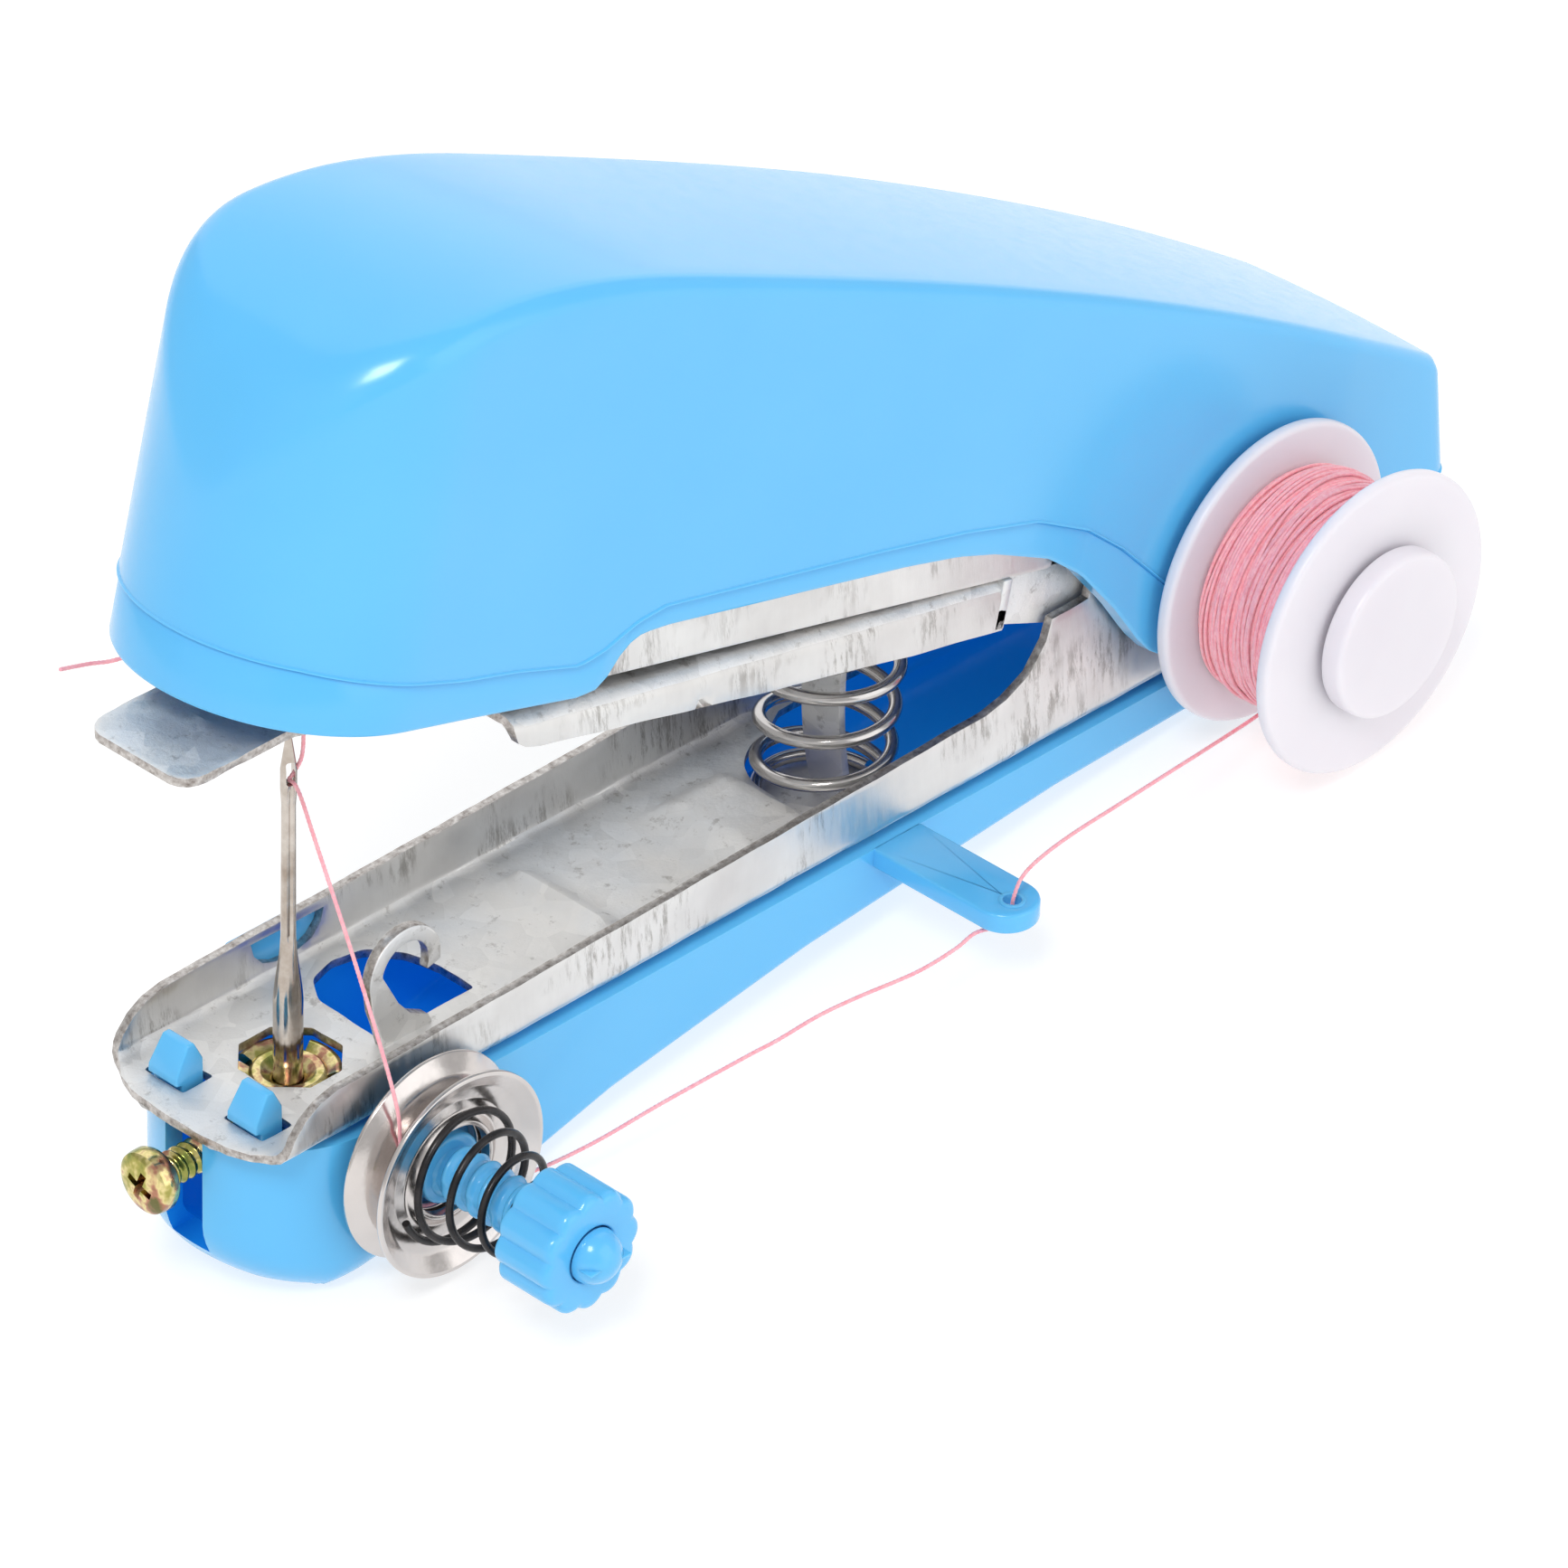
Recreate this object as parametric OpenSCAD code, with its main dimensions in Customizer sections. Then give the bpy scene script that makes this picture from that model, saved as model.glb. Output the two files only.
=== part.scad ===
/* [Stance] */
// Distance along the lower arm from the needle to the hinge
arm_len = 84; // [80:1:88]
// Height of the hinge above the lower channel's web
hinge_up = 7.3; // [7:0.1:7.8]
// Angle at which the head stands open above the lower arm, in degrees
head_open = 13.7; // [13.5:0.1:13.9]
// Angle of the presser plate above the lower arm, in degrees
presser_open = 12; // [11.8:0.1:12]
// Lean of the lower arm when the base stands on a table, in degrees
rest_lean = 5.7; // [5.5:0.1:5.9]

/* [Sheet metal] */
// Sheet thickness of the frames
sheet = 0.9; // [0.8:0.05:1]
// Outer half width of the lower channel
channel_half = 8.6; // [8.4:0.1:8.7]
// Outer half width of the wide part of the upper frame
frame_half = 8.4; // [8:0.1:8.5]
// Outer half width of the upper frame where it straddles the hinge
frame_tail_half = 6.4; // [6.2:0.1:6.5]
// Outer half width of the presser plate where it straddles the hinge
presser_tail_half = 7.5; // [7.3:0.1:7.5]

/* [Shells] */
// Wall thickness of the plastic shells
wall = 1.6; // [1.4:0.1:1.8]
// Outer half width of the base shell
base_half = 8.8; // [8.8:0.1:9]
// Depth of the base's nose below the web
nose_depth = 13.3; // [13:0.1:13.6]
// Outer half width of the head cover, at its round nose
cover_half = 11.9; // [11.7:0.1:11.9]
// Height of the cover above the hinge pin
cover_ridge = 18.25; // [18:0.05:18.5]

/* [Needle] */
// Diameter of the needle's shank
shank_d = 2.05; // [1.9:0.05:2.1]
// Diameter of the needle's blade
blade_d = 1; // [0.9:0.05:1.1]
// Height of the eye above the web
eye_z = 22.3; // [21:0.1:23]
// Height of the point above the web
tip_z = 27; // [26:0.1:27.2]

/* [Thread path] */
// Radius of the tension discs
disc_r = 7.6; // [7.2:0.1:7.6]
// Radius of the tension knob
knob_r = 4.6; // [4.2:0.1:5]
// Radius of the bobbin's flanges
bobbin_r = 11.5; // [11:0.1:12]
// Radius of the thread wound on the bobbin
winding_r = 9; // [7:0.1:9.2]
// Diameter of the sewing thread
thread_d = 0.3; // [0.3:0.05:0.35]

/* [Drive] */
// Gear module of the looper drive
gear_module = 0.5; // [0.5]
// Number of teeth on the looper pinion
pinion_teeth = 10; // [10]
// Wire diameter of the main spring
spring_wire = 1; // [0.9:0.05:1.1]
// Number of turns in the main spring
spring_turns = 6.5; // [5.5:0.5:6.5]

/* [Hidden] */

$fn = 64;
sky = "deepskyblue";
steel = "silver";
thread_pink = "lightpink";
slack = 0.05; // radial clearance of a running fit

// The hinge in the row frame: the origin is under the nose, on the table plane
hinge_x = arm_len * cos(rest_lean) + (hinge_up + nose_depth) * sin(rest_lean);
hinge_z = (hinge_up + nose_depth) * cos(rest_lean) - arm_len * sin(rest_lean);

hinge_pin_r = 2;
web_open_x = [46.2, 80]; // the gap in the lower web round the main spring
ear_top = 11.6;
flange_top = [3.7, 4.9]; // height of the lower flanges, front and rear

disc_x = 3.4;
disc_z = -4.4;
pinch_y = 11.375; // distance of the discs' meeting plane from the centre line
post_r = 2;
post_root_r = 2.6;
post_shoulder_r = 3.9; // the inner disc rests against this shoulder
knob_len = 4.8;
knob_y = 20.6;
post_tip_y = 25.4;

bobbin_y = [11.5, 21.9];
bobbin_flange = 1.1;
hub_r = 4.5;
spool_r = 2.9;
spool_foot_r = 3.8;
spool_seat = 10.6; // distance of the spool pin's seat on the cover from the centre line
spool_cap_r = 6.3;

spring_x = 51.3;
spring_r = 4.7;
spring_foot_z = -2.8;

// The looper drive, in the head's own frame
mesh_u = 32.5; // distance of the mesh from the hinge, along the head
shaft_w = 9;
pitch_r = gear_module * pinion_teeth / 2;
rack_y = 1.6;
shaft_y = rack_y + pitch_r;
shaft_r = 1;
strip_r = norm([mesh_u, shaft_w]);
tooth_step = PI * gear_module / mesh_u * 180 / PI;
backlash = 0.12;
pressure_angle = 25;
tooth_rise = 0.8 * gear_module;
tooth_drop = 1.1 * gear_module;
looper_u = -83.6;

needle_slot_u = [-87.6, -82.4]; // where the needle crosses the presser plate

// Local frames. In each, the first axis runs towards the hinge, and the third is up.
module at_arm() {
    translate([hinge_x, 0, hinge_z]) rotate([0, rest_lean, 0])
        translate([-arm_len, 0, -hinge_up]) children();
}

module at_head() {
    translate([hinge_x, 0, hinge_z]) rotate([0, rest_lean + head_open, 0]) children();
}

module at_presser() {
    translate([hinge_x, 0, hinge_z]) rotate([0, rest_lean + presser_open, 0]) children();
}

// A flat outline in the length and height plane, spread between two sides
module side_plate(y0, y1) {
    translate([0, y1, 0]) rotate([90, 0, 0]) linear_extrude(y1 - y0) children();
}

module both_sides() {
    children();
    mirror([0, 1, 0]) children();
}

// A round bar across the machine, from y0 to y1
module cross_bar(r, y0, y1) {
    translate([0, y1, 0]) rotate([90, 0, 0]) cylinder(r = r, h = y1 - y0);
}

module box(x, y, z) {
    translate([x[0], y[0], z[0]]) cube([x[1] - x[0], y[1] - y[0], z[1] - z[0]]);
}

function arc(r, a0, a1, n) = [for (i = [0:n]) let (a = a0 + (a1 - a0) * i / n) [r * cos(a), r * sin(a)]];
function shifted(points, by) = [for (p = points) p + by];

// A tube of n sides swept along points by one polyhedron
function direction(p, i) = let (a = p[max(i - 1, 0)], b = p[min(i + 1, len(p) - 1)]) (b - a) / norm(b - a);
function ring(p, i, r, n, up) = let (
    t = direction(p, i),
    side = cross(t, up) / norm(cross(t, up)),
    other = cross(side, t)
) [for (k = [0:n - 1]) p[i] + r * (cos(360 * k / n) * side + sin(360 * k / n) * other)];

module tube(points, r, n = 8, up = [0, 1, 0]) {
    m = len(points);
    corners = [for (i = [0:m - 1]) each ring(points, i, r, n, up)];
    sides = [for (i = [0:m - 2], k = [0:n - 1]) let (
        a = i * n + k,
        b = i * n + (k + 1) % n
    ) each [[a, b, b + n], [a, b + n, a + n]]];
    polyhedron(corners, concat(
        [[for (k = [n - 1:-1:0]) k]],
        sides,
        [[for (k = [0:n - 1]) (m - 1) * n + k]]), convexity = 6);
}

// A smooth curve through hand-placed points
function spline_point(a, b, c, d, t) = 0.5 * (2 * b + (c - a) * t + (2 * a - 5 * b + 4 * c - d) * t * t
    + (3 * b - a - 3 * c + d) * t * t * t);
function smooth(p, steps) = concat([for (i = [0:len(p) - 2], s = [0:steps - 1])
    spline_point(p[max(i - 1, 0)], p[i], p[i + 1], p[min(i + 2, len(p) - 1)], s / steps)], [p[len(p) - 1]]);

// ---- Lower arm ----

base_outline = [[-9.3, -9.5], [-8, -12.6], [-6.5, -15], [5, -15], [9, -12.1], [22, -9], [41, -6.4],
    [66, -4.6], [82, -4.3], [86, -6], [95, -6], [95, -0.95], [-9.6, -0.95]];
base_hollow = [[-8, -9.2], [-6, -11.4], [4, -11.4], [9, -10.3], [22, -7.4], [41, -4.8], [66, -3],
    [93.4, -2.9], [93.4, 1], [-8.3, 1]];

// Plan of the base: straight sides and a round nose
module base_plan(half) {
    polygon(concat(shifted(arc(half, 90, 270, 24), [-0.8, 0]),
        [[92, -half], [95, 3 - half], [95, half - 3], [92, half]]));
}

module base_solid(half, outline) {
    intersection() {
        translate([0, 0, -20]) linear_extrude(25) base_plan(half);
        side_plate(-half, half) polygon(outline);
    }
}

module snap_tab() {
    side_plate(-1.7, 1.7) polygon([[-1, -4], [1, -4], [1, 1.6], [0.2, 3], [-0.6, 2.8], [-1.2, 0.6]]);
}

module guide_arm() {
    difference() {
        union() {
            box([47.3, 52.1], [-20, -8], [-2.5, -0.95]);
            translate([49.7, -20, -2.5]) cylinder(r = 2.4, h = 1.55);
        }
        translate([49.7, -19.6, -3]) cylinder(r = 0.8, h = 3);
    }
}

module tension_post() {
    translate([disc_x, 0, disc_z]) {
        cross_bar(post_shoulder_r, -10.3, 0.15 - base_half);
        cross_bar(post_root_r, -12.2, -8);
        cross_bar(post_r, -post_tip_y, -8);
        translate([0, -post_tip_y, 0]) sphere(r = post_r);
    }
}

module base_shell() {
    color(sky) difference() {
        at_arm() {
            difference() {
                base_solid(base_half, base_outline);
                base_solid(base_half - wall, base_hollow);
                // The slot in the nose for the clamp screw
                box([-12, -6], [-1.9, 1.9], [-9, 0]);
            }
            // Socket for the needle clamp, and the seat under the main spring
            intersection() {
                translate([0, 0, -13]) difference() {
                    cylinder(r = 4.9, h = 6.4);
                    translate([0, 0, 1.3]) cylinder(r = 3.35, h = 6);
                }
                base_solid(base_half - 0.4, base_outline);
            }
            translate([spring_x, 0, -4.6]) cylinder(r = 6.8, h = 4.6 + spring_foot_z - sheet);
            for (y = [-3.8, 3.8]) translate([-6.4, y, 0]) snap_tab();
            // The clip behind the window in the far flange
            box([3, 12], [channel_half, channel_half + 0.8], [-2, 3.2]);
            tension_post();
            guide_arm();
        }
        translate([-60, -50, -30]) cube([220, 100, 30]);
    }
}

// Side outline of a lower flange, with the ear that carries the hinge
module flange_outline() {
    intersection() {
        translate([-3.6, -sheet]) circle(r = flange_top[0] + sheet);
        translate([-9, -sheet]) square([5.41, 6]);
    }
    polygon([[-3.6, -sheet], [88, -sheet], [89.4, 5.5], [89.4, hinge_up], [88.2, 10.6], [85.6, ear_top + 1],
        [72, ear_top + 1], [68.8, 11.6], [68.6, 10], [64.9, 10], [64.4, 8.4], [62.8, 6.4], [60.5, 5.3],
        [58.5, flange_top[1]], [-3.6, flange_top[0]]]);
}

// The lanced thread hook that stands on the near side of the opening
module thread_hook() {
    side_plate(-3.5, -2.6) {
        polygon([[5.6, -0.5], [10.2, -0.5], [9.4, 1.2], [7.2, 2.2], [6.2, 4], [5.9, 5.3], [4.2, 5.3], [4.5, 3]]);
        difference() {
            translate([7.5, 5.3]) circle(r = 3.3);
            translate([7.5, 5.3]) circle(r = 1.6);
            translate([4.1, -2]) square([8, 5.9]);
            translate([4.1, 1.9]) square([4.4, 3.4]);
        }
    }
}

module lower_channel() {
    color(steel) at_arm() {
        difference() {
            union() {
                translate([0, 0, -sheet]) linear_extrude(sheet)
                    polygon([[-8.2, -channel_half], [-9.8, -6], [-10.2, -2], [-10.2, 2], [-9.8, 6],
                        [-8.2, channel_half], [88, channel_half], [88, -channel_half]]);
                both_sides() side_plate(channel_half - sheet, channel_half) flange_outline();
                // Stiffening rib and the raised seat in front of the spring
                intersection() {
                    translate([26, 0, -0.9]) cross_bar(1.5, -4.6, 5);
                    box([20, 30], [-6, 6], [-0.5, 2]);
                }
                box([38.4, 45.6], [-5.2, 4], [-0.5, 0.7]);
                thread_hook();
            }
            // Octagonal opening round the needle clamp
            translate([0.2, 0, -2]) rotate(22.5) cylinder(r = 4.4, h = 4, $fn = 8);
            for (y = [-3.8, 3.8]) box([-7.8, -5], [y - 1.9, y + 1.9], [-2, 1]);
            // Opening beside the thread hook
            translate([0, 0, -2]) linear_extrude(4)
                polygon([[5.4, -2.6], [14.6, -2.6], [14.4, 0.5], [13, 4.2], [10, 5], [7.4, 5], [5.6, 3.6], [5, 1]]);
            box(web_open_x, [-6.9, 6.9], [-2, 1.4]);
            // Window in the far flange
            translate([7.5, 0, 3.9]) cross_bar(3.4, 5, 10);
            both_sides() translate([arm_len, 0, hinge_up]) cross_bar(hinge_pin_r, 5, 12);
        }
        // The rim of the window
        box([3.8, 11.2], [channel_half - sheet, channel_half], [3.5, 3.85]);
    }
}

module needle() {
    eye_height = 1.4;
    eye_width = 0.44;
    color(steel) at_arm() difference() {
        union() {
            translate([0, 0, -11.4]) cylinder(d = shank_d, h = 16.9);
            translate([0, 0, 5.5]) cylinder(d1 = shank_d, d2 = blade_d, h = 3.5);
            translate([0, 0, 9]) cylinder(d = blade_d, h = tip_z - 12.4);
            translate([0, 0, tip_z - 3.4]) cylinder(d1 = blade_d, d2 = 0.12, h = 3.4);
        }
        box([-eye_width / 2, eye_width / 2], [-1, 1], [eye_z - eye_height / 2, eye_z + eye_height / 2]);
    }
}

module needle_clamp() {
    color("goldenrod") at_arm() difference() {
        union() {
            translate([0, 0, -11.2]) cylinder(r = 3.3, h = 10.4);
            // Four lugs spread round the collet's mouth
            for (a = [0:90:270]) rotate(a + 45) box([1.6, 3.9], [-1.3, 1.3], [-1.4, -0.2]);
        }
        translate([0, 0, -12]) cylinder(d = shank_d + 2 * 0.02, h = 13);
        translate([-5, 0, -3.7]) rotate([0, 90, 0]) cylinder(r = 1.25 + slack, h = 5);
    }
}

module clamp_screw() {
    color("goldenrod") at_arm() translate([-13.6, 0, -3.7]) rotate([0, 90, 0]) difference() {
        union() {
            intersection() {
                cylinder(r = 2.3, h = 1.8);
                translate([0, 0, 3]) sphere(r = 3.3);
            }
            translate([0, 0, 1.7]) cylinder(r = 1.25, h = 13.6 - 1.7 - shank_d / 2 - 0.05);
        }
        for (a = [0, 90]) rotate(a) translate([-1.3, -0.3, -0.1]) cube([2.6, 0.6, 1]);
    }
}

// One dished disc: r from the bore out, y from the meeting plane outwards
module dished_disc() {
    rotate([90, 0, 0]) rotate_extrude() polygon([[3.3, 0], [5.2, 0], [6.4, 0.45], [disc_r, 1.3], [disc_r, 1.6],
        [7.3, 1.6], [6.2, 0.8], [5.1, 0.4], [4.2, 0.4], [3.6, 0.9], [3.3, 0.9]]);
}

module tension_disc_inner() {
    color(steel) at_arm() translate([disc_x, thread_d / 2 + 0.02 - pinch_y, disc_z]) mirror([0, 1, 0]) dished_disc();
}

module tension_disc_outer() {
    color(steel) at_arm() translate([disc_x, -pinch_y - thread_d / 2 - 0.02, disc_z]) dished_disc();
}

module tension_spring() {
    turns = 4;
    y0 = -12.4;
    y1 = -20.2;
    wire = 0.7;
    steps = turns * 14;
    color("dimgray") at_arm() tube([for (i = [0:steps]) let (
        s = i / steps,
        a = 360 * turns * s + 200,
        r = 4.3 - 1.6 * s,
        ease = s < 0.18 ? 0.25 * s : s > 0.9 ? 1 - 0.4 * (1 - s) : 0.045 + (s - 0.18) * 0.915 / 0.72
    ) [disc_x + r * cos(a), y0 + (y1 - y0) * ease, disc_z + r * sin(a)]], wire / 2);
}

module tension_knob() {
    color(sky) at_arm() translate([disc_x, -knob_y, disc_z]) rotate([90, 0, 0]) difference() {
        union() {
            cylinder(r = knob_r - 0.55, h = knob_len);
            for (i = [0:11]) rotate(i * 30) translate([knob_r - 0.75, 0, 0]) cylinder(r = 0.75, h = knob_len, $fn = 16);
        }
        translate([0, 0, -1]) cylinder(r = post_r + slack, h = knob_len + 2);
    }
}

// A ring sector about the hinge, seen from the side, in the arm's own frame
module drive_strip() {
    low_angle = -47.2;
    high_angle = 5.4;
    color(steel) {
        at_head() {
            side_plate(-2.6, rack_y - tooth_drop) intersection() {
                difference() {
                    circle(r = strip_r + sheet / 2, $fn = 180);
                    circle(r = strip_r - sheet / 2, $fn = 180);
                }
                polygon([[0, 0], for (a = [low_angle, (low_angle + high_angle) / 2, high_angle])
                    let (b = a + atan(shaft_w / mesh_u)) 45 * [-cos(b), sin(b)]]);
            }
            for (k = [-6:1]) rotate([0, k * tooth_step, 0]) translate([-mesh_u, 0, shaft_w]) rack_tooth();
        }
        at_arm() box([spring_x - 5.2, spring_x + 5.2], [-5.2, 5.2], [spring_foot_z - sheet, spring_foot_z]);
    }
}

module rack_tooth() {
    half = PI * gear_module / 4 - backlash / 2;
    rise = tooth_rise;
    drop = tooth_drop + 0.1;
    flare = tan(pressure_angle);
    translate([-sheet / 2, 0, 0]) rotate([90, 0, 90]) linear_extrude(sheet)
        polygon([[rack_y + rise, half - rise * flare], [rack_y - drop, half + drop * flare],
            [rack_y - drop, -half - drop * flare], [rack_y + rise, -half + rise * flare]]);
}

module hinge_pin() {
    color(steel) translate([hinge_x, 0, hinge_z]) {
        cross_bar(hinge_pin_r, -channel_half, channel_half);
        both_sides() cross_bar(2.8, channel_half, channel_half + 0.3);
    }
}

// A coil whose turns fan from level, at the foot, to the slope of the presser plate, at the top
module main_spring() {
    per_turn = 18;
    steps = per_turn * spring_turns;
    slope = presser_open;
    top_z = hinge_up + (2 - 0.02 + (arm_len - spring_x) * sin(slope)) / cos(slope);
    fan_r = (top_z - spring_foot_z - spring_wire) / tan(slope);
    color(steel) at_arm() tube([for (i = [0:steps]) let (
        s = i / steps,
        ease = s < 0.12 ? 0.35 * s : s > 0.88 ? 1 - 0.35 * (1 - s) : 0.042 + (s - 0.12) * 0.916 / 0.76,
        fan = slope * ease,
        a = 360 * spring_turns * s
    ) [spring_x + fan_r, 0, spring_foot_z + spring_wire / 2]
        + [-(fan_r - spring_r * cos(a)) * cos(fan), spring_r * sin(a), (fan_r - spring_r * cos(a)) * sin(fan)]],
        spring_wire / 2);
}

// ---- Presser plate ----

presser_top = 2.9;
toe_rise = 4.25;
toe_tip = 2.55;

module presser_plate() {
    under = presser_top - sheet;
    color(steel) at_presser() difference() {
        union() {
            // Wide channel that meets the lower flanges
            box([-74.2, -24.5], [-channel_half, channel_half], [under, presser_top]);
            both_sides() side_plate(channel_half - sheet, channel_half)
                polygon([[-73.4, presser_top], [-73, 1.6], [-71.6, 0.3], [-50, -0.5], [-34, -1], [-24.5, -1],
                    [-24.5, presser_top]]);
            // Shoulder and the narrower tail round the hinge
            both_sides() box([-25.4, -24.5], [presser_tail_half - sheet, channel_half], [-1, presser_top]);
            box([-25.4, -5.6], [-presser_tail_half, presser_tail_half], [under, presser_top]);
            both_sides() side_plate(presser_tail_half - sheet, presser_tail_half) {
                polygon([[-25.4, -1], [-12, -3.4], [-1, -4.2], [2, -3.4], [2, 3], [-1, 3.9], [-5.6, presser_top],
                    [-25.4, presser_top]]);
                circle(r = 4.2);
            }
            // Tongue, the round pad under the needle, and the toe that droops forwards
            intersection() {
                side_plate(-6.2, 6.2) polygon([[-74, presser_top], [-77.5, presser_top], [-83, 3.9], [-91.2, toe_rise],
                    [-100.4, toe_tip], [-100.4, toe_tip - sheet], [-91.2, toe_rise - sheet], [-83, 3.9 - sheet],
                    [-77.5, under], [-74, under]]);
                linear_extrude(8) {
                    polygon([[-74, -4.6], [-97.6, -4.6], [-99.6, -3.9], [-100.4, -2], [-100.4, 2],
                        [-99.6, 3.9], [-97.6, 4.6], [-74, 4.6]]);
                    translate([-84.4, 0]) circle(r = 6);
                }
            }
        }
        box(needle_slot_u, [-1.5, 1.5], [-1, 5]);
        // Room for the thread hook and for the drive strip
        box([-81.6, -71.6], [-4.2, -1.8], [-1, 5]);
        box([-35.4, -31.8], [-3.2, 3], [0, 5]);
        both_sides() cross_bar(hinge_pin_r + slack, 5, 9);
    }
}

// ---- Head ----

frame_bottom = 2.2;
frame_top = 15;
frame_front = -79.5;
frame_step = -20.4;

module bearing_plate(u) {
    difference() {
        box([u, u + sheet], [sheet - frame_half, frame_half - sheet], [4, frame_top]);
        translate([u - 1, shaft_y, shaft_w]) rotate([0, 90, 0]) cylinder(r = shaft_r + slack, h = 3);
    }
}

module upper_frame() {
    color(steel) at_head() difference() {
        union() {
            box([frame_front, frame_step], [-frame_half, frame_half], [frame_top - sheet, frame_top]);
            both_sides() box([frame_front, frame_step], [frame_half - sheet, frame_half], [frame_bottom, frame_top]);
            both_sides() box([frame_step - sheet, frame_step], [frame_tail_half - sheet, frame_half], [3.2, frame_top]);
            both_sides() side_plate(frame_tail_half - sheet, frame_tail_half) {
                polygon([[frame_step - sheet, 3.2], [-4.6, 3.2], [-4.4, 0], [4.4, 0], [4.4, 5], [-8, 11],
                    [frame_step - sheet, frame_top]]);
                circle(r = 4.5);
            }
            box([frame_step - sheet, -9], [-frame_tail_half, frame_tail_half], [9.6, 10.5]);
            bearing_plate(frame_front);
            bearing_plate(-37);
        }
        // Opening for the drive strip
        box([-33, -26.5], [-3.4, 3.4], [frame_top - 2, frame_top + 1]);
        both_sides() cross_bar(hinge_pin_r + slack, 4, 8);
    }
}

// Cover: a lofted shell, round in plan at the front, that narrows a little towards the hinge
cover_front = -98.6;
cover_rear = 18.4;
nose_u = cover_front + cover_half;
crown_rise = 0.4;
forehead_u = -66; // the crown starts to fall towards the nose here
forehead_drop = 20.8;
rear_slope = 0.4; // the rear wall leans back, so that it stands upright when the jaw is open
rear_corner = 1.4;

function ridge(u) = let (t = min(1, max(0, (forehead_u - u) / (forehead_u - cover_front))))
    cover_ridge - 0.2872 * u - 0.001504 * pow(u, 2) - 0.0000053 * pow(u, 3)
    - forehead_drop * (1 - pow(1 - pow(t, 2.4), 0.361));
function cover_width(u) = lookup(u, [[-98, cover_half], [-60, cover_half - 0.35], [-30, cover_half - 0.4],
    [6, cover_half - 1.25], [18, cover_half - 2.4]]);
function cover_middle(u) = lookup(u, [[-98, 0.9], [-60, 0.55], [-30, 0.5], [6, 0], [18, -0.2]]);
function rear_lean(u, w) = rear_slope * max(0, 12 - w) * min(1, max(0, (u - 4) / (cover_rear - 4)));
function cover_section(u, half, inset) = let (
    top = ridge(u) - inset,
    bevel = min(1.1, half / 3),
    crease = top - crown_rise * pow(half / cover_half, 2)
) [for (p = concat(
        [[-half, -10], [-half, crease - bevel], [0.3 * bevel - half, crease - 0.3 * bevel]],
        [for (k = [-3:3]) let (y = (half - bevel) * k / 3) [y, top - crown_rise * pow(y / cover_half, 2)]],
        [[half - 0.3 * bevel, crease - 0.3 * bevel], [half, crease - bevel], [half, -10]]))
    [u + rear_lean(u, p.y), cover_middle(u) + p.x, p.y]];

module cover_loft(inset) {
    nose_r = cover_half - inset;
    rear = cover_rear - inset;
    front = [for (a = [4, 9, 15, 22, 29, 37, 46, 56, 68, 80]) [nose_u - nose_r * cos(a), nose_r * sin(a)]];
    middle = [for (i = [0:14]) let (u = nose_u + (rear - rear_corner - nose_u) * i / 14)
        [u, cover_width(u) - inset]];
    back = [for (a = [30, 60, 90]) let (u = rear - rear_corner + rear_corner * sin(a))
        [u, cover_width(u) - inset - rear_corner * (1 - cos(a))]];
    sections = [for (s = concat(front, middle, back)) cover_section(s[0], s[1], inset)];
    n = len(sections[0]);
    m = len(sections);
    polyhedron([for (s = sections) each s], concat(
        [[for (k = [n - 1:-1:0]) k]],
        [for (i = [0:m - 2], k = [0:n - 1]) let (a = i * n + k, b = i * n + (k + 1) % n)
            each [[a, b + n, a + n], [a, b, b + n]]],
        [[for (k = [0:n - 1]) (m - 1) * n + k]]), convexity = 4);
}

// Everything below the cover's rim, seen from the side
cover_rim = [[-110, 3.4], [-98.5, 3.3], [-87, 3.3], [-80.5, 3.1], [-70.9, 2.7], [-68.6, 3.6], [-67.4, 5.4],
    [-65.6, 6.4], [-39.4, 6.6], [-30, 6], [-24, 4.6], [-20, 2.6], [-15.2, -0.9], [-11.6, -4], [-9.7, -5.3],
    [-8, -5.8], [0, -5.8], [10, -4.6], [30, -1.4]];

module top_cover() {
    color(sky) at_head() {
        difference() {
            cover_loft(0);
            cover_loft(wall);
            side_plate(-15, 15) polygon(concat(cover_rim, [[30, -20], [-110, -20]]));
            // Flat seat for the spool pin
            cross_bar(spool_foot_r, -15, -spool_seat);
        }
        // Ribs that grip the upper frame's flanges
        for (u = [-72, -48, -26], side = [-1, 1])
            let (inside = cover_width(u) - wall + 0.2 + side * cover_middle(u))
            box([u, u + 1.2], side > 0 ? [frame_half, inside] : [-inside, -frame_half], [7.4, 14]);
    }
}

function involute(r, base) = let (t = sqrt(max(0, r * r / (base * base) - 1))) t * 180 / PI - atan(t);

// Half of one tooth's width, as an angle, at radius r
function tooth_half(r, base) = 90 / pinion_teeth - backlash / 2 / pitch_r * 180 / PI
    + involute(pitch_r, base) - involute(max(r, base), base);

module pinion_outline() {
    base = pitch_r * cos(pressure_angle);
    root = pitch_r - tooth_drop;
    tip = pitch_r + tooth_rise;
    radii = [root, base, (base + pitch_r) / 2, pitch_r, (pitch_r + tip) / 2, tip];
    polygon([for (i = [0:pinion_teeth - 1]) each concat(
        [for (r = radii) let (a = i * 360 / pinion_teeth - tooth_half(r, base)) r * [cos(a), sin(a)]],
        [for (k = [5:-1:0]) let (r = radii[k], a = i * 360 / pinion_teeth + tooth_half(r, base))
            r * [cos(a), sin(a)]])]);
}

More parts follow.
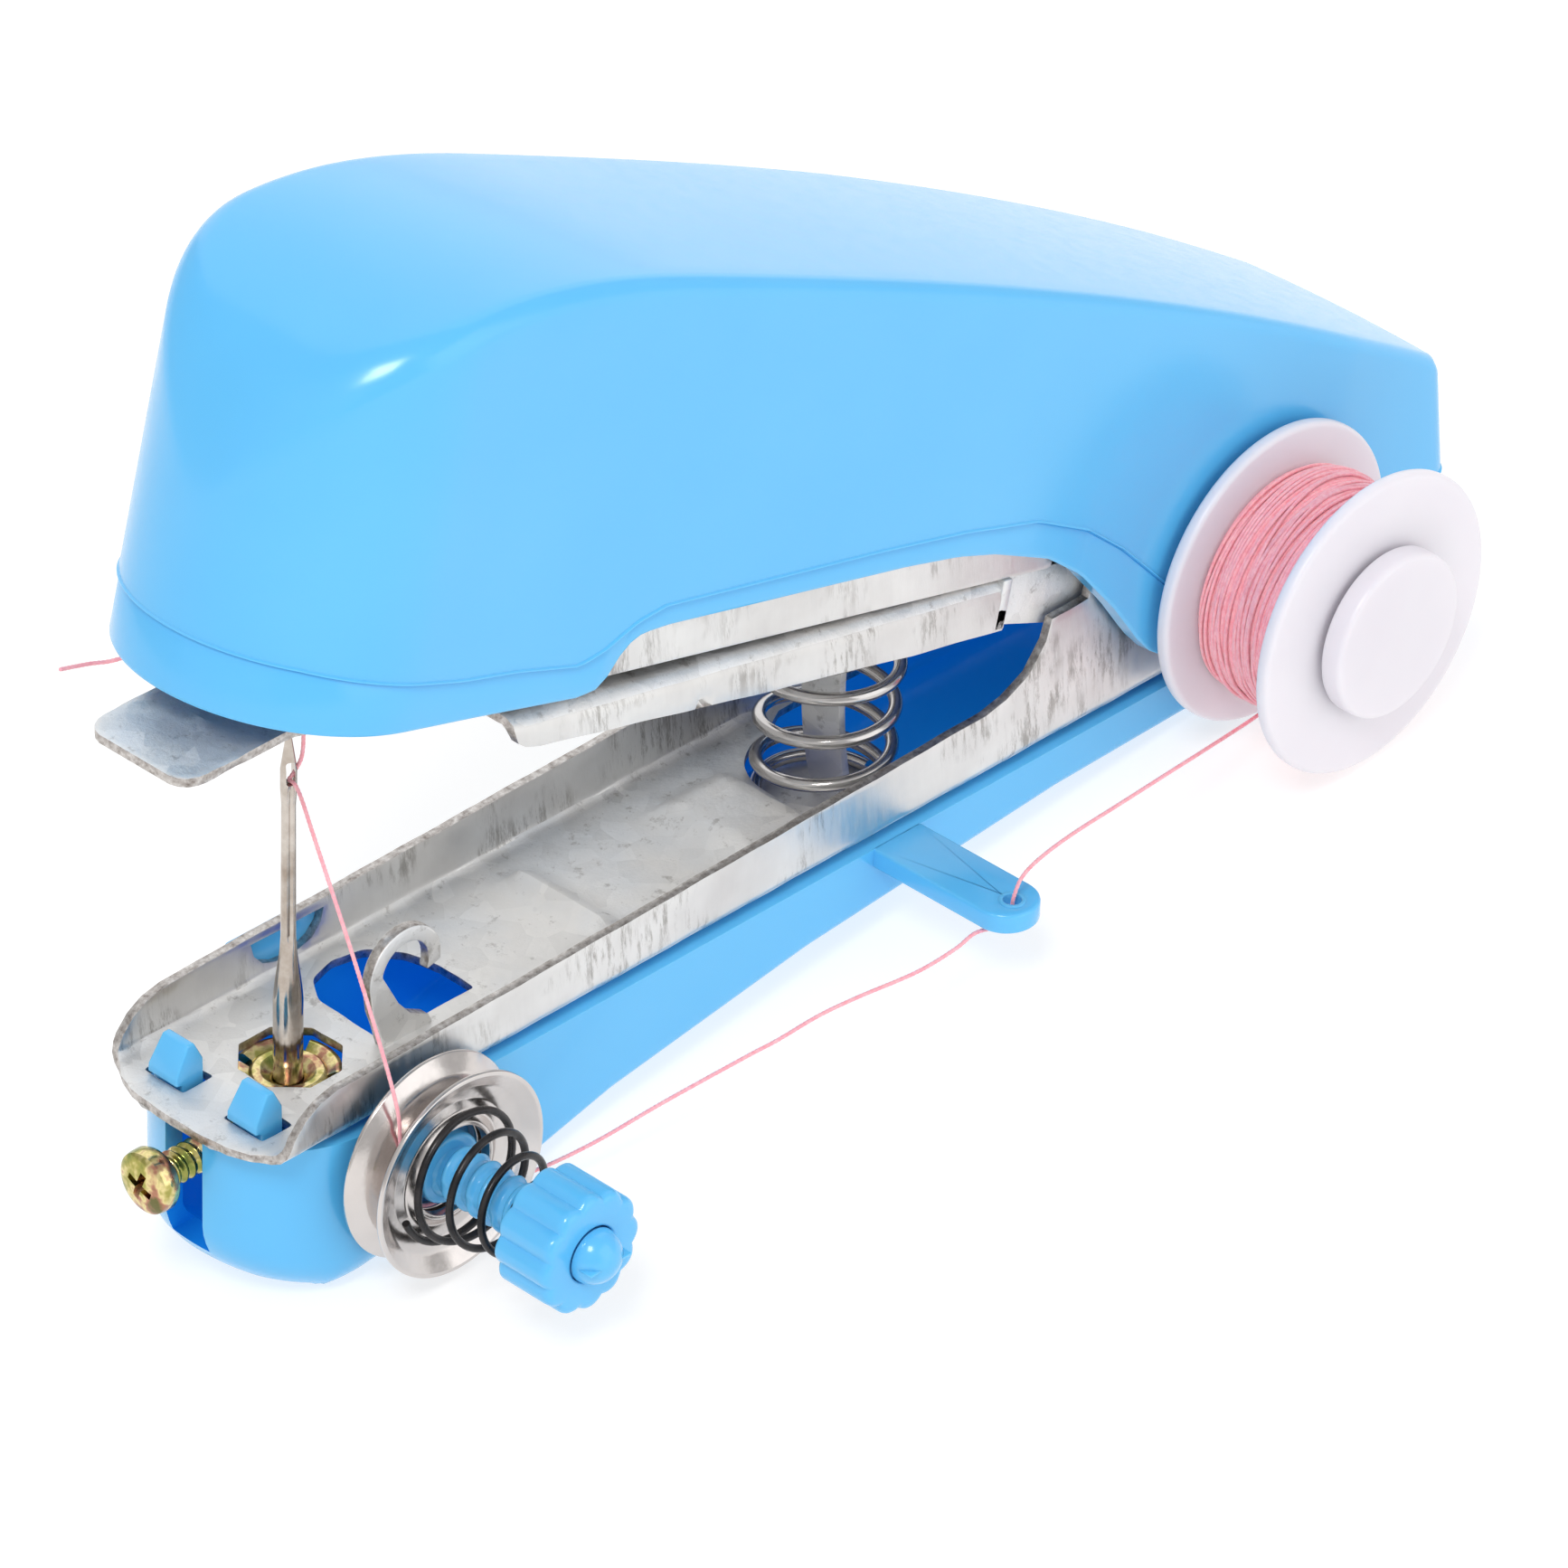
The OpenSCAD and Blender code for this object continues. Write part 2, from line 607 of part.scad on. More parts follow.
// The pinion's teeth stand so that a gap meets the rack's tooth at rest
module looper_shaft() {
    color(steel) at_head() translate([0, shaft_y, shaft_w]) rotate([0, 90, 0]) {
        translate([0, 0, looper_u + 1.2]) cylinder(r = shaft_r, h = -30.6 - looper_u - 1.2);
        translate([0, 0, -mesh_u - 0.7]) rotate(90 + 180 / pinion_teeth) linear_extrude(1.4) pinion_outline();
    }
}

// Hub and hooked finger of the looper, which passes behind the needle
module looper_hook() {
    color(steel) at_head() translate([looper_u, shaft_y, shaft_w]) rotate([90, 0, 90]) linear_extrude(1.2) {
        circle(r = 1.9);
        difference() {
            circle(r = 4.2);
            circle(r = 3);
            polygon([[0, 0], [-1, -9], [9, -9], [9, 9], [-1.4, 9]]);
        }
        polygon([[-3.6, -1], [-1, -1.2], [-1, 1.2], [-3.6, 1]]);
    }
}

module shaft_collar() {
    color(steel) at_head() translate([frame_front + sheet + 0.3, shaft_y, shaft_w]) rotate([0, 90, 0]) difference() {
        cylinder(r = 2, h = 1.4);
        translate([0, 0, -1]) cylinder(r = shaft_r, h = 4);
    }
}

// ---- Bobbin ----

module spool_pin() {
    color("white") translate([hinge_x, 0, hinge_z]) {
        cross_bar(spool_foot_r, 0.1 - bobbin_y[0], -spool_seat);
        cross_bar(spool_r, -22.4, -spool_seat);
        cross_bar(spool_cap_r, -24.1, -22.3);
    }
}

module bobbin() {
    color("white") translate([hinge_x, 0, hinge_z]) difference() {
        union() {
            cross_bar(bobbin_r, -bobbin_y[0] - bobbin_flange, -bobbin_y[0]);
            cross_bar(bobbin_r, -bobbin_y[1], -bobbin_y[1] + bobbin_flange);
            cross_bar(hub_r, -bobbin_y[1] + 0.5, -bobbin_y[0] - 0.5);
        }
        cross_bar(spool_r + slack, -30, 0);
    }
}

module thread_winding() {
    color(thread_pink) translate([hinge_x, 0, hinge_z]) difference() {
        cross_bar(winding_r, -bobbin_y[1] + bobbin_flange, -bobbin_y[0] - bobbin_flange);
        cross_bar(hub_r + 0.02, -30, 0);
    }
}

// ---- Thread ----

// From the bobbin, under the hinge, to the guide arm, in the arm's own frame
supply_route = [[82.6, -14.65, -1.8], [79, -15.2, -1.65], [73.1, -16.1, -1.05], [69.6, -16.6, -0.7],
    [62.9, -17.6, 0], [57, -18.5, 0.65], [53.1, -19.1, 0.8], [50.8, -19.5, 0.5], [49.9, -19.6, -0.6],
    [49.7, -19.6, -1.6], [49.7, -19.6, -2.8]];
// Below the guide arm, forward to the discs and round the post
run_route = [[49.7, -19.6, -2.8], [48.9, -19.2, -3], [47.3, -18.5, -3.1], [45.7, -18.1, -3.9], [42.5, -17.5, -4.6],
    [37.8, -16.5, -4.9], [34.6, -15.9, -5.2], [31.3, -15.2, -6], [28.9, -14.8, -6.3], [22.2, -13.4, -7.6],
    [17.1, -12.2, -8.9], [12.5, -11.4, -9.3], [8, -11.375, -8.4], [4.6, -11.375, -7.4], [1.4, -11.375, -6.8],
    [0, -11.375, -4.4], [-0.6, -11.375, -1], [-1, -11.2, 3]];
// From the discs up to the needle's eye
rise_route = [[-1, -11.2, 3], [-0.8, -7.5, 11], [-0.4, -3, 19], [0, -0.9, 21.9], [0, 0, 22.3]];
tail_route = [[0, 0, 22.3], [0.35, -0.25, 23], [0.75, -0.5, 24.2], [0.9, -0.4, 26.5], [0.8, 0, 29.5],
    [0.6, 0.4, 32.4], [-0.8, 2.2, 34.4], [-3.2, 5.2, 34.5], [-4.3, 8, 32.4], [-4, 10.1, 29.4], [-4.9, 11.4, 28.4],
    [-6.6, 12, 28.6], [-9, 12.1, 29.2]];

module thread_supply() {
    color(thread_pink) at_arm() tube(smooth(supply_route, 2), thread_d / 2);
}

module thread_run() {
    color(thread_pink) at_arm() tube(smooth(concat(run_route, [for (i = [1:4]) rise_route[i]]), 3), thread_d / 2);
}

module thread_tail() {
    color(thread_pink) at_arm() tube(smooth(tail_route, 4), thread_d / 2);
}

base_shell();
lower_channel();
needle();
needle_clamp();
clamp_screw();
tension_disc_inner();
tension_disc_outer();
tension_spring();
tension_knob();
drive_strip();
hinge_pin();
main_spring();
presser_plate();
upper_frame();
top_cover();
looper_shaft();
looper_hook();
shaft_collar();
spool_pin();
bobbin();
thread_winding();
thread_supply();
thread_run();
thread_tail();
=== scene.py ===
"""A hand-held sewing machine: the look of every piece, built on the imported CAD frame."""

import math

import bmesh
import bpy
import numpy as np
from mathutils import Matrix, Vector
from mathutils.geometry import delaunay_2d_cdt


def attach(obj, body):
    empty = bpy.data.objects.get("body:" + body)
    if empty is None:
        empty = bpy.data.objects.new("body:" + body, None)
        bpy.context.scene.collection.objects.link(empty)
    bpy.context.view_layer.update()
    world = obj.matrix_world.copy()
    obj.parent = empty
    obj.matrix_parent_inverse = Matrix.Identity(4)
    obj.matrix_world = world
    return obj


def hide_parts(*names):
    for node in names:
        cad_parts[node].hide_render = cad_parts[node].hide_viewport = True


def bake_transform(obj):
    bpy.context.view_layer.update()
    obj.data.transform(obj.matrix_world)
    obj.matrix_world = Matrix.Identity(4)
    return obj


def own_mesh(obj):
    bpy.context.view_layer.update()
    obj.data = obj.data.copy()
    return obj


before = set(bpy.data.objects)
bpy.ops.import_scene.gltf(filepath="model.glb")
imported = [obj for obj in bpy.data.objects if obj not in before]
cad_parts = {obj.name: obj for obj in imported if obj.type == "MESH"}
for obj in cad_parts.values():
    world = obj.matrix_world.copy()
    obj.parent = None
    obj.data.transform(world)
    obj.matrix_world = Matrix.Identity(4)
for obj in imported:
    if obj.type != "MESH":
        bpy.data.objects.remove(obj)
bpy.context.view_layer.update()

# All modelling is in millimetres, in the CAD's three local frames. MM brings it to metres.
MM = 0.001
ARM_LEN = 84.0
HINGE_UP = 7.3
REST_LEAN = 5.7
HEAD_OPEN = 13.7
PRESSER_OPEN = 12.0
HINGE = Vector((85.631, 0, 12.155))
THREAD_D = 0.3


def turned(degrees):
    return Matrix.Rotation(math.radians(degrees), 4, "Y")


TO_METRES = Matrix.Scale(MM, 4) @ Matrix.Translation(HINGE)
ARM = TO_METRES @ turned(REST_LEAN) @ Matrix.Translation((-ARM_LEN, 0, -HINGE_UP))
HEAD = TO_METRES @ turned(REST_LEAN + HEAD_OPEN)
PRESSER = TO_METRES @ turned(REST_LEAN + PRESSER_OPEN)
SPINDLE = TO_METRES @ turned(REST_LEAN)


def placed(name, data):
    """A new object in the scene."""
    o = bpy.data.objects.new(name, data)
    bpy.context.scene.collection.objects.link(o)
    return o


# ---------------------------------------------------------------- camera

# The camera that took the picture, in the lower arm's frame
CAMERA_AT = Vector((-388.8, -406.8, 397.8))
CAMERA_AZIMUTH = -47.0
CAMERA_ELEVATION = 33.69
CAMERA_ROLL = 1.94
CAMERA_LENS = 237.5


def add_camera():
    """The camera, turned about its own axis by the roll."""
    azimuth, elevation, roll = (
        math.radians(a) for a in (CAMERA_AZIMUTH, CAMERA_ELEVATION, CAMERA_ROLL)
    )
    forward = Vector((
        -math.sin(azimuth) * math.cos(elevation),
        math.cos(azimuth) * math.cos(elevation),
        -math.sin(elevation),
    ))
    right = forward.cross(Vector((0, 0, 1))).normalized()
    up = right.cross(forward)
    turned_right = right * math.cos(roll) + up * math.sin(roll)
    turned_up = up * math.cos(roll) - right * math.sin(roll)
    lean = turned(REST_LEAN).to_3x3()
    axes = Matrix((lean @ turned_right, lean @ turned_up, lean @ -forward)).transposed()
    data = bpy.data.cameras.new("camera")
    data.lens = CAMERA_LENS
    data.sensor_width = 36
    data.clip_start = 0.01
    camera = placed("camera", data)
    camera.matrix_world = Matrix.Translation(ARM @ CAMERA_AT) @ axes.to_4x4()
    bpy.context.scene.camera = camera


# ---------------------------------------------------------------- materials


class Shader:
    """A short way to write a node material round one Principled shader."""

    def __init__(self, name, **values):
        self.material = bpy.data.materials.new(name)
        self.material.use_nodes = True
        self.tree = self.material.node_tree
        self.tree.nodes.clear()
        output = self.tree.nodes.new("ShaderNodeOutputMaterial")
        self.surface = self.tree.nodes.new("ShaderNodeBsdfPrincipled")
        self.tree.links.new(self.surface.outputs[0], output.inputs[0])
        self.place = self.tree.nodes.new("ShaderNodeTexCoord").outputs["Object"]
        self.relief = None
        for socket, value in values.items():
            self.surface.inputs[socket.replace("_", " ")].default_value = value

    def node(self, kind, **inputs):
        """A new node, each of its sockets set to a value or linked to another node's output."""
        node = self.tree.nodes.new("ShaderNode" + kind)
        for name, value in inputs.items():
            if isinstance(value, bpy.types.NodeSocket):
                self.tree.links.new(value, node.inputs[name])
            else:
                node.inputs[name].default_value = value
        return node

    def link(self, source, socket):
        self.tree.links.new(source, self.surface.inputs[socket])

    def vary(self, socket, source, *stops):
        """Drives a socket of the surface from source, through a ramp."""
        self.link(self.ramp(source, *stops), socket)

    def scaled(self, factors):
        return self.node("Mapping", Vector=self.place, Scale=factors).outputs[0]

    def noise(self, scale, detail=3.0, roughness=0.5, place=None):
        node = self.node("TexNoise", Vector=place or self.place, Scale=scale, Detail=detail,
                         Roughness=roughness)
        return node.outputs["Fac"]

    def cells(self, scale):
        return self.node("TexVoronoi", Vector=self.place, Scale=scale).outputs["Color"]

    def ramp(self, source, *stops):
        node = self.tree.nodes.new("ShaderNodeValToRGB")
        elements = node.color_ramp.elements
        while len(elements) < len(stops):
            elements.new(0.5)
        for element, (position, colour) in zip(elements, stops):
            element.position = position
            element.color = (*colour, 1) if isinstance(colour, tuple) else (colour,) * 3 + (1,)
        self.tree.links.new(source, node.inputs[0])
        return node.outputs[0]

    def mix(self, share, a, b, blend="MIX"):
        node = self.tree.nodes.new("ShaderNodeMix")
        node.data_type = "RGBA"
        node.blend_type = blend
        for value, socket in ((share, 0), (a, 6), (b, 7)):
            if isinstance(value, (float, int)):
                node.inputs[socket].default_value = value
            elif isinstance(value, tuple):
                node.inputs[socket].default_value = (*value, 1)
            else:
                self.tree.links.new(value, node.inputs[socket])
        return node.outputs[2]

    def bump(self, height, strength, distance):
        """Raises the surface by height, and keeps any bump already there."""
        node = self.node("Bump", Strength=strength, Distance=distance, Height=height)
        if self.relief:
            self.tree.links.new(self.relief, node.inputs["Normal"])
        self.relief = node.outputs[0]
        self.link(self.relief, "Normal")


def blue_plastic():
    s = Shader("blue plastic", Subsurface_Weight=0.12, Subsurface_Scale=0.0015,
               Subsurface_Radius=(0.3, 0.8, 1.0), IOR=1.5, Coat_Weight=0.22, Coat_Roughness=0.13)
    s.vary("Base Color", s.noise(60, 2), (0.3, (0.095, 0.465, 0.84)), (0.7, (0.108, 0.485, 0.86)))
    s.vary("Roughness", s.noise(900, 4), (0.35, 0.19), (0.75, 0.27))
    s.bump(s.noise(180, 2), 0.10, 0.0004)
    return s.material


def painted_glow_blue():
    """The hollow side of the base in a darker, deeper blue with a painted glow: painted shade and painted light
    standing in for the light that comes through the plastic and bounces in the hollow.
    """
    s = Shader("blue plastic, painted inside glow", Roughness=0.2, IOR=1.5, Emission_Color=(0.0, 0.12, 0.52, 1),
               Emission_Strength=0.35)
    s.vary("Base Color", s.noise(60, 2), (0.3, (0.01, 0.22, 0.66)), (0.7, (0.015, 0.26, 0.72)))
    return s.material


def galvanised():
    """Zinc-coated sheet: faint spangle, fine pits and a soft cloud of colour."""
    s = Shader("galvanised sheet", Metallic=0.78)
    spangle = s.cells(520)
    grey = s.ramp(spangle, (0.0, 0.74), (1.0, 0.90))
    dirt = s.ramp(s.noise(760, 9, 0.7), (0.33, (0.46, 0.44, 0.42)), (0.42, (1.0, 1.0, 1.0)))
    cloud = s.ramp(s.noise(110, 4), (0.4, (1.0, 0.985, 0.96)), (0.65, (0.93, 0.95, 0.97)))
    s.link(s.mix(1.0, s.mix(0.6, grey, dirt, "MULTIPLY"), cloud, "MULTIPLY"), "Base Color")
    s.vary("Roughness", s.mix(0.5, spangle, s.noise(1500, 6)), (0.2, 0.44), (0.8, 0.66))
    s.bump(s.noise(900, 8, 0.7), 0.42, 0.0002)
    s.bump(s.noise(3200, 5), 0.3, 0.00008)
    return s.material


def sheared_side():
    """The flanges' outer faces, where the press tool has drawn marks across the sheet."""
    s = Shader("galvanised sheet, drawn", Metallic=1.0)
    grey = s.ramp(s.noise(160, 4), (0.3, (0.64, 0.63, 0.62)), (0.7, (0.78, 0.78, 0.77)))
    streaks = s.noise(1.0, 6, 0.8, s.scaled((1700, 1700, 260)))
    patches = s.ramp(s.noise(150, 3), (0.48, 0.0), (0.60, 0.8))
    marks = s.ramp(streaks, (0.40, (0.42, 0.40, 0.38)), (0.52, (1.0, 1.0, 1.0)))
    s.link(s.mix(patches, grey, s.mix(1.0, grey, marks, "MULTIPLY")), "Base Color")
    s.vary("Roughness", s.noise(1.0, 4, 0.6, s.scaled((1500, 1500, 200))), (0.3, 0.30), (0.7, 0.48))
    s.bump(streaks, 0.22, 0.0001)
    return s.material


def sheared_edge():
    """The bare cut edge of the sheet."""
    s = Shader("sheared edge", Metallic=1.0)
    s.vary("Base Color", s.noise(1900, 6, 0.7), (0.32, (0.24, 0.21, 0.19)), (0.5, (0.48, 0.45, 0.43)),
           (0.7, (0.72, 0.70, 0.68)))
    s.vary("Roughness", s.noise(1200, 4), (0.3, 0.28), (0.7, 0.55))
    s.bump(s.noise(1500, 5), 0.4, 0.0001)
    return s.material


def bright_steel(name="bright steel", tint=(0.56, 0.54, 0.53), rough=0.12):
    s = Shader(name, Metallic=1.0)
    stain = s.ramp(s.noise(300, 5), (0.4, 0.0), (0.8, 0.35))
    s.link(s.mix(stain, tint, tuple(0.72 * c for c in tint)), "Base Color")
    s.vary("Roughness", s.noise(1500, 6, 0.7), (0.3, rough), (0.8, rough + 0.16))
    s.bump(s.noise(2000, 4), 0.06, 0.0001)
    return s.material


def needle_steel():
    s = Shader("needle steel", Metallic=1.0)
    s.vary("Base Color", s.noise(260, 5, 0.6), (0.35, (0.36, 0.30, 0.25)), (0.6, (0.60, 0.55, 0.50)))
    s.vary("Roughness", s.noise(1400, 6), (0.3, 0.09), (0.8, 0.24))
    return s.material


def yellow_zinc():
    """Passivated zinc, its film changing between green, gold and red."""
    s = Shader("yellow zinc", Metallic=1.0)
    s.vary("Base Color", s.noise(520, 3, 0.55), (0.30, (0.20, 0.24, 0.06)), (0.42, (0.42, 0.38, 0.11)),
           (0.50, (0.78, 0.66, 0.32)), (0.58, (0.46, 0.22, 0.15)), (0.70, (0.16, 0.15, 0.06)))
    s.vary("Roughness", s.noise(1500, 5), (0.3, 0.12), (0.8, 0.30))
    s.bump(s.noise(900, 5), 0.2, 0.0001)
    return s.material


def black_wire():
    s = Shader("black wire", Metallic=0.55)
    s.vary("Base Color", s.noise(800, 4), (0.3, (0.010, 0.010, 0.012)), (0.8, (0.045, 0.04, 0.04)))
    s.vary("Roughness", s.noise(1500, 4), (0.3, 0.22), (0.8, 0.42))
    return s.material


def white_plastic():
    s = Shader("white plastic", Subsurface_Weight=0.35, Subsurface_Scale=0.002,
               Subsurface_Radius=(1.0, 0.85, 0.85))
    s.vary("Base Color", s.noise(70, 3), (0.3, (0.72, 0.69, 0.745)), (0.7, (0.77, 0.745, 0.79)))
    s.vary("Roughness", s.noise(900, 5), (0.3, 0.30), (0.75, 0.42))
    s.bump(s.noise(1600, 4), 0.05, 0.0001)
    return s.material


def pink_thread():
    s = Shader("pink thread", Roughness=0.85, Sheen_Weight=0.5, Sheen_Roughness=0.4, Subsurface_Weight=0.15,
               Subsurface_Scale=0.0005)
    s.vary("Base Color", s.noise(2400, 5, 0.7), (0.3, (0.88, 0.31, 0.38)), (0.7, (0.97, 0.51, 0.56)))
    s.bump(s.noise(5200, 3), 0.6, 0.00006)
    return s.material


def paper():
    s = Shader("paper", Roughness=0.7, Emission_Color=(1.0, 1.0, 1.0, 1), Emission_Strength=0.68)
    s.vary("Base Color", s.noise(6, 2), (0.3, (0.39, 0.38, 0.37)), (0.7, (0.41, 0.40, 0.39)))
    return s.material


# Looks: the materials of a piece, and the frame's name for its slot
# The second blue is darker and glows: painted shade and a painted glow for the hollow side of the base.
plastic, painted_glow_side = blue_plastic(), painted_glow_blue()
zinc_sheet, drawn_side, cut_edge = galvanised(), sheared_side(), sheared_edge()
BLUE = ([plastic], "blue_plastic")
BLUE_SHELL_PAINTED_INSIDE = ([plastic, painted_glow_side], "blue_plastic")
SHEET = ([zinc_sheet], "galvanised_sheet")
CUT_SHEET = ([zinc_sheet, cut_edge], "galvanised_sheet")
FOLDED_SHEET = ([zinc_sheet, cut_edge, drawn_side], "galvanised_sheet")
STEEL = ([bright_steel()], "polished_steel")
DISC_STEEL = ([bright_steel("disc steel", (0.66, 0.62, 0.60), 0.13)], "polished_steel")
NEEDLE_STEEL = ([needle_steel()], "polished_steel")
ZINC = ([yellow_zinc()], "yellow_zinc")
WIRE = ([black_wire()], "black_steel")
WHITE = ([white_plastic()], "white_plastic")
THREAD = ([pink_thread()], "pink_thread")

# ---------------------------------------------------------------- mesh helpers


def piece(name, mesh, place, body, look, *nodes, angle=32):
    """A finished piece, from a mesh in millimetres in one of the local frames."""
    materials, slot = look
    mesh.name = name
    mesh.transform(place)
    kept = [polygon.material_index for polygon in mesh.polygons]
    mesh.materials.clear()
    for material in materials:
        mesh.materials.append(material)
    mesh.polygons.foreach_set("material_index", kept)
    mesh.shade_smooth()
    mesh.set_sharp_from_angle(angle=math.radians(angle))
    o = placed(name, mesh)
    if body:  # a piece that bends between two bodies rides neither
        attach(o, body)
    if nodes:
        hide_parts(*nodes)
    return o


def new_mesh(verts, faces, merge=1e-4):
    mesh = bpy.data.meshes.new("part")
    mesh.from_pydata([tuple(v) for v in verts], [], faces)
    b = bmesh.new()
    b.from_mesh(mesh)
    bmesh.ops.remove_doubles(b, verts=b.verts, dist=merge)
    bmesh.ops.recalc_face_normals(b, faces=b.faces)
    b.to_mesh(mesh)
    b.free()
    return mesh


def as_mesh(b):
    mesh = bpy.data.meshes.new("part")
    b.to_mesh(mesh)
    b.free()
    return mesh


def joined(*meshes):
    b = bmesh.new()
    for mesh in meshes:
        b.from_mesh(mesh)
    return as_mesh(b)


def moved(mesh, matrix):
    made = mesh.copy()
    made.transform(matrix)
    if matrix.determinant() < 0:
        made.flip_normals()
    return made


def modified(mesh, kind, **settings):
    """The mesh after one modifier."""
    o = placed("work", mesh)
    modifier = o.modifiers.new(kind, kind)
    for name, value in settings.items():
        setattr(modifier, name, value)
    bpy.context.view_layer.update()
    made = bpy.data.meshes.new_from_object(o.evaluated_get(bpy.context.evaluated_depsgraph_get()))
    bpy.data.objects.remove(o)
    return made


def cut(mesh, cutter):
    """The mesh less the cutter."""
    helper = placed("cutter", cutter)
    made = modified(mesh, "BOOLEAN", operation="DIFFERENCE", object=helper, solver="EXACT")
    bpy.data.objects.remove(helper)
    return made


def bevelled(mesh, width, segments=2, angle=35):
    return modified(mesh, "BEVEL", width=width, segments=segments, limit_method="ANGLE",
                    angle_limit=math.radians(angle), harden_normals=False, miter_outer="MITER_ARC")


# A corner this near to straight, in radians of half its angle, isn't rounded
STRAIGHT = math.radians(88)


def arc(centre, radius, start, end, count):
    angles = np.radians(np.linspace(start, end, count))
    return [(centre[0] + radius * math.cos(a), centre[1] + radius * math.sin(a)) for a in angles]


def rect(x0, x1, y0, y1):
    return [(x0, y0), (x1, y0), (x1, y1), (x0, y1)]


def rounded(points, radius, steps=4):
    """The outline with each corner rounded. radius is one number, or one for each corner."""
    made, n = [], len(points)
    for i, p in enumerate(points):
        r = radius[i] if isinstance(radius, (list, tuple)) else radius
        p = Vector(p)
        a, b = Vector(points[i - 1]) - p, Vector(points[(i + 1) % n]) - p
        half = a.angle(b) / 2
        if r <= 0 or half > STRAIGHT:
            made.append(tuple(p))
            continue
        back = min(r / math.tan(half), 0.49 * a.length, 0.49 * b.length)
        start, end = p + a.normalized() * back, p + b.normalized() * back
        for k in range(steps + 1):
            t = k / steps
            made.append(tuple(start * (1 - t) ** 2 + p * 2 * t * (1 - t) + end * t * t))
    return made


def ring_faces(rows, sides):
    """The faces between rows of points, where each row is a closed ring."""
    faces = []
    for i in range(rows - 1):
        for k in range(sides):
            a, b = i * sides + k, i * sides + (k + 1) % sides
            faces.append((a, b, b + sides, a + sides))
    return faces


def ring_ends(rows, sides):
    return tuple(range(sides - 1, -1, -1)), tuple((rows - 1) * sides + k for k in range(sides))


def turned_skin(heights, sides, radius, ends=(False, False), merge=1e-4):
    """A skin round the local Z axis, radius(height, angle, column) out from it, and its closed ends."""
    verts = []
    for h in heights:
        for k in range(sides):
            a = 2 * math.pi * k / sides
            r = radius(h, a, k)
            verts.append((r * math.cos(a), r * math.sin(a), h))
    rows = len(heights)
    closing = [end for end, wanted in zip(ring_ends(rows, sides), ends) if wanted]
    return new_mesh(verts, ring_faces(rows, sides) + closing, merge)


def spaced(low, high, rows):
    return [low + (high - low) * i / rows for i in range(rows + 1)]


def turned_solid(profile, count=96, spin=None):
    """A solid of revolution about the local Z axis, from (radius, height) points. spin scales each radius."""
    verts, faces, n = [], [], len(profile)
    for k in range(count):
        a = 2 * math.pi * k / count
        for i, (r, h) in enumerate(profile):
            scale = spin(a, i) if spin else 1
            verts.append((r * scale * math.cos(a), r * scale * math.sin(a), h))
    for k in range(count):
        ahead = (k + 1) % count
        for i in range(n):
            j = (i + 1) % n
            faces.append((k * n + i, k * n + j, ahead * n + j, ahead * n + i))
    return new_mesh(verts, faces)


# Local Z turned to run outwards along -Y, or forwards to back along X
OUTWARDS = Matrix.Rotation(math.radians(90), 4, "X")
BACKWARDS = Matrix.Rotation(math.radians(90), 4, "Y")


def at(x, y, z):
    return Matrix.Translation((x, y, z))


def loop_edges(loops):
    """Every loop's points in one list, and the edges that close each loop."""
    points, edges = [], []
    for loop in loops:
        start = len(points)
        points += loop
        edges += [(start + i, start + (i + 1) % len(loop)) for i in range(len(loop))]
    return points, edges


def triangles(points, edges, loops):
    """The points, and the triangles between them that lie in the outline and outside its holes."""
    flat, _, tris, *_ = delaunay_2d_cdt([Vector(p) for p in points], edges, [], 0, 1e-6)
    return flat, [t for t in tris if within(sum((flat[i] for i in t), Vector((0, 0))) / 3, loops)]


def slab(outline, low, high, holes=()):
    """A flat piece: an outline in X and Y with holes, from low to high in Z."""
    loops = [outline, *holes]
    flat, kept = triangles(*loop_edges(loops), loops)
    b = bmesh.new()
    verts = [b.verts.new((p.x, p.y, low)) for p in flat]
    for t in kept:
        b.faces.new([verts[i] for i in t])
    bmesh.ops.dissolve_limit(b, angle_limit=0.01, verts=b.verts, edges=b.edges)
    raised = bmesh.ops.extrude_face_region(b, geom=b.faces[:])
    for v in raised["geom"]:
        if isinstance(v, bmesh.types.BMVert):
            v.co.z = high
    bmesh.ops.recalc_face_normals(b, faces=b.faces)
    return as_mesh(b)


def within(p, loops):
    inside = False
    for loop in loops:
        for (x0, y0), (x1, y1) in zip(loop, loop[1:] + loop[:1]):
            if (y0 > p[1]) != (y1 > p[1]) and p[0] < x0 + (p[1] - y0) * (x1 - x0) / (y1 - y0):
                inside = not inside
    return inside


# A slab's outline drawn in the length and height plane, standing across the machine
UPRIGHT = Matrix(((1, 0, 0, 0), (0, 0, -1, 0), (0, 1, 0, 0), (0, 0, 0, 1)))


def upright(outline, y0, y1, holes=()):
    """A slab whose outline is in X and Z, from y0 to y1."""
    return moved(slab(outline, -y1, -y0, holes), UPRIGHT)


def both_sides(outline, near, far, holes=()):
    """The same upright slab on each side, from near to far from the middle."""
    return [upright(outline, *sorted((side * near, side * far)), holes) for side in (-1, 1)]


def smooth_line(points, steps):
    """A smooth curve through given points."""
    p = [Vector(q) for q in points]
    made = []
    for i in range(len(p) - 1):
        a, b, c, d = p[max(i - 1, 0)], p[i], p[i + 1], p[min(i + 2, len(p) - 1)]
        for s in range(steps):
            t = s / steps
            made.append(0.5 * (2 * b + (c - a) * t + (2 * a - 5 * b + 4 * c - d) * t * t
                               + (3 * b - a - 3 * c + d) * t ** 3))
    return [*made, p[-1]]


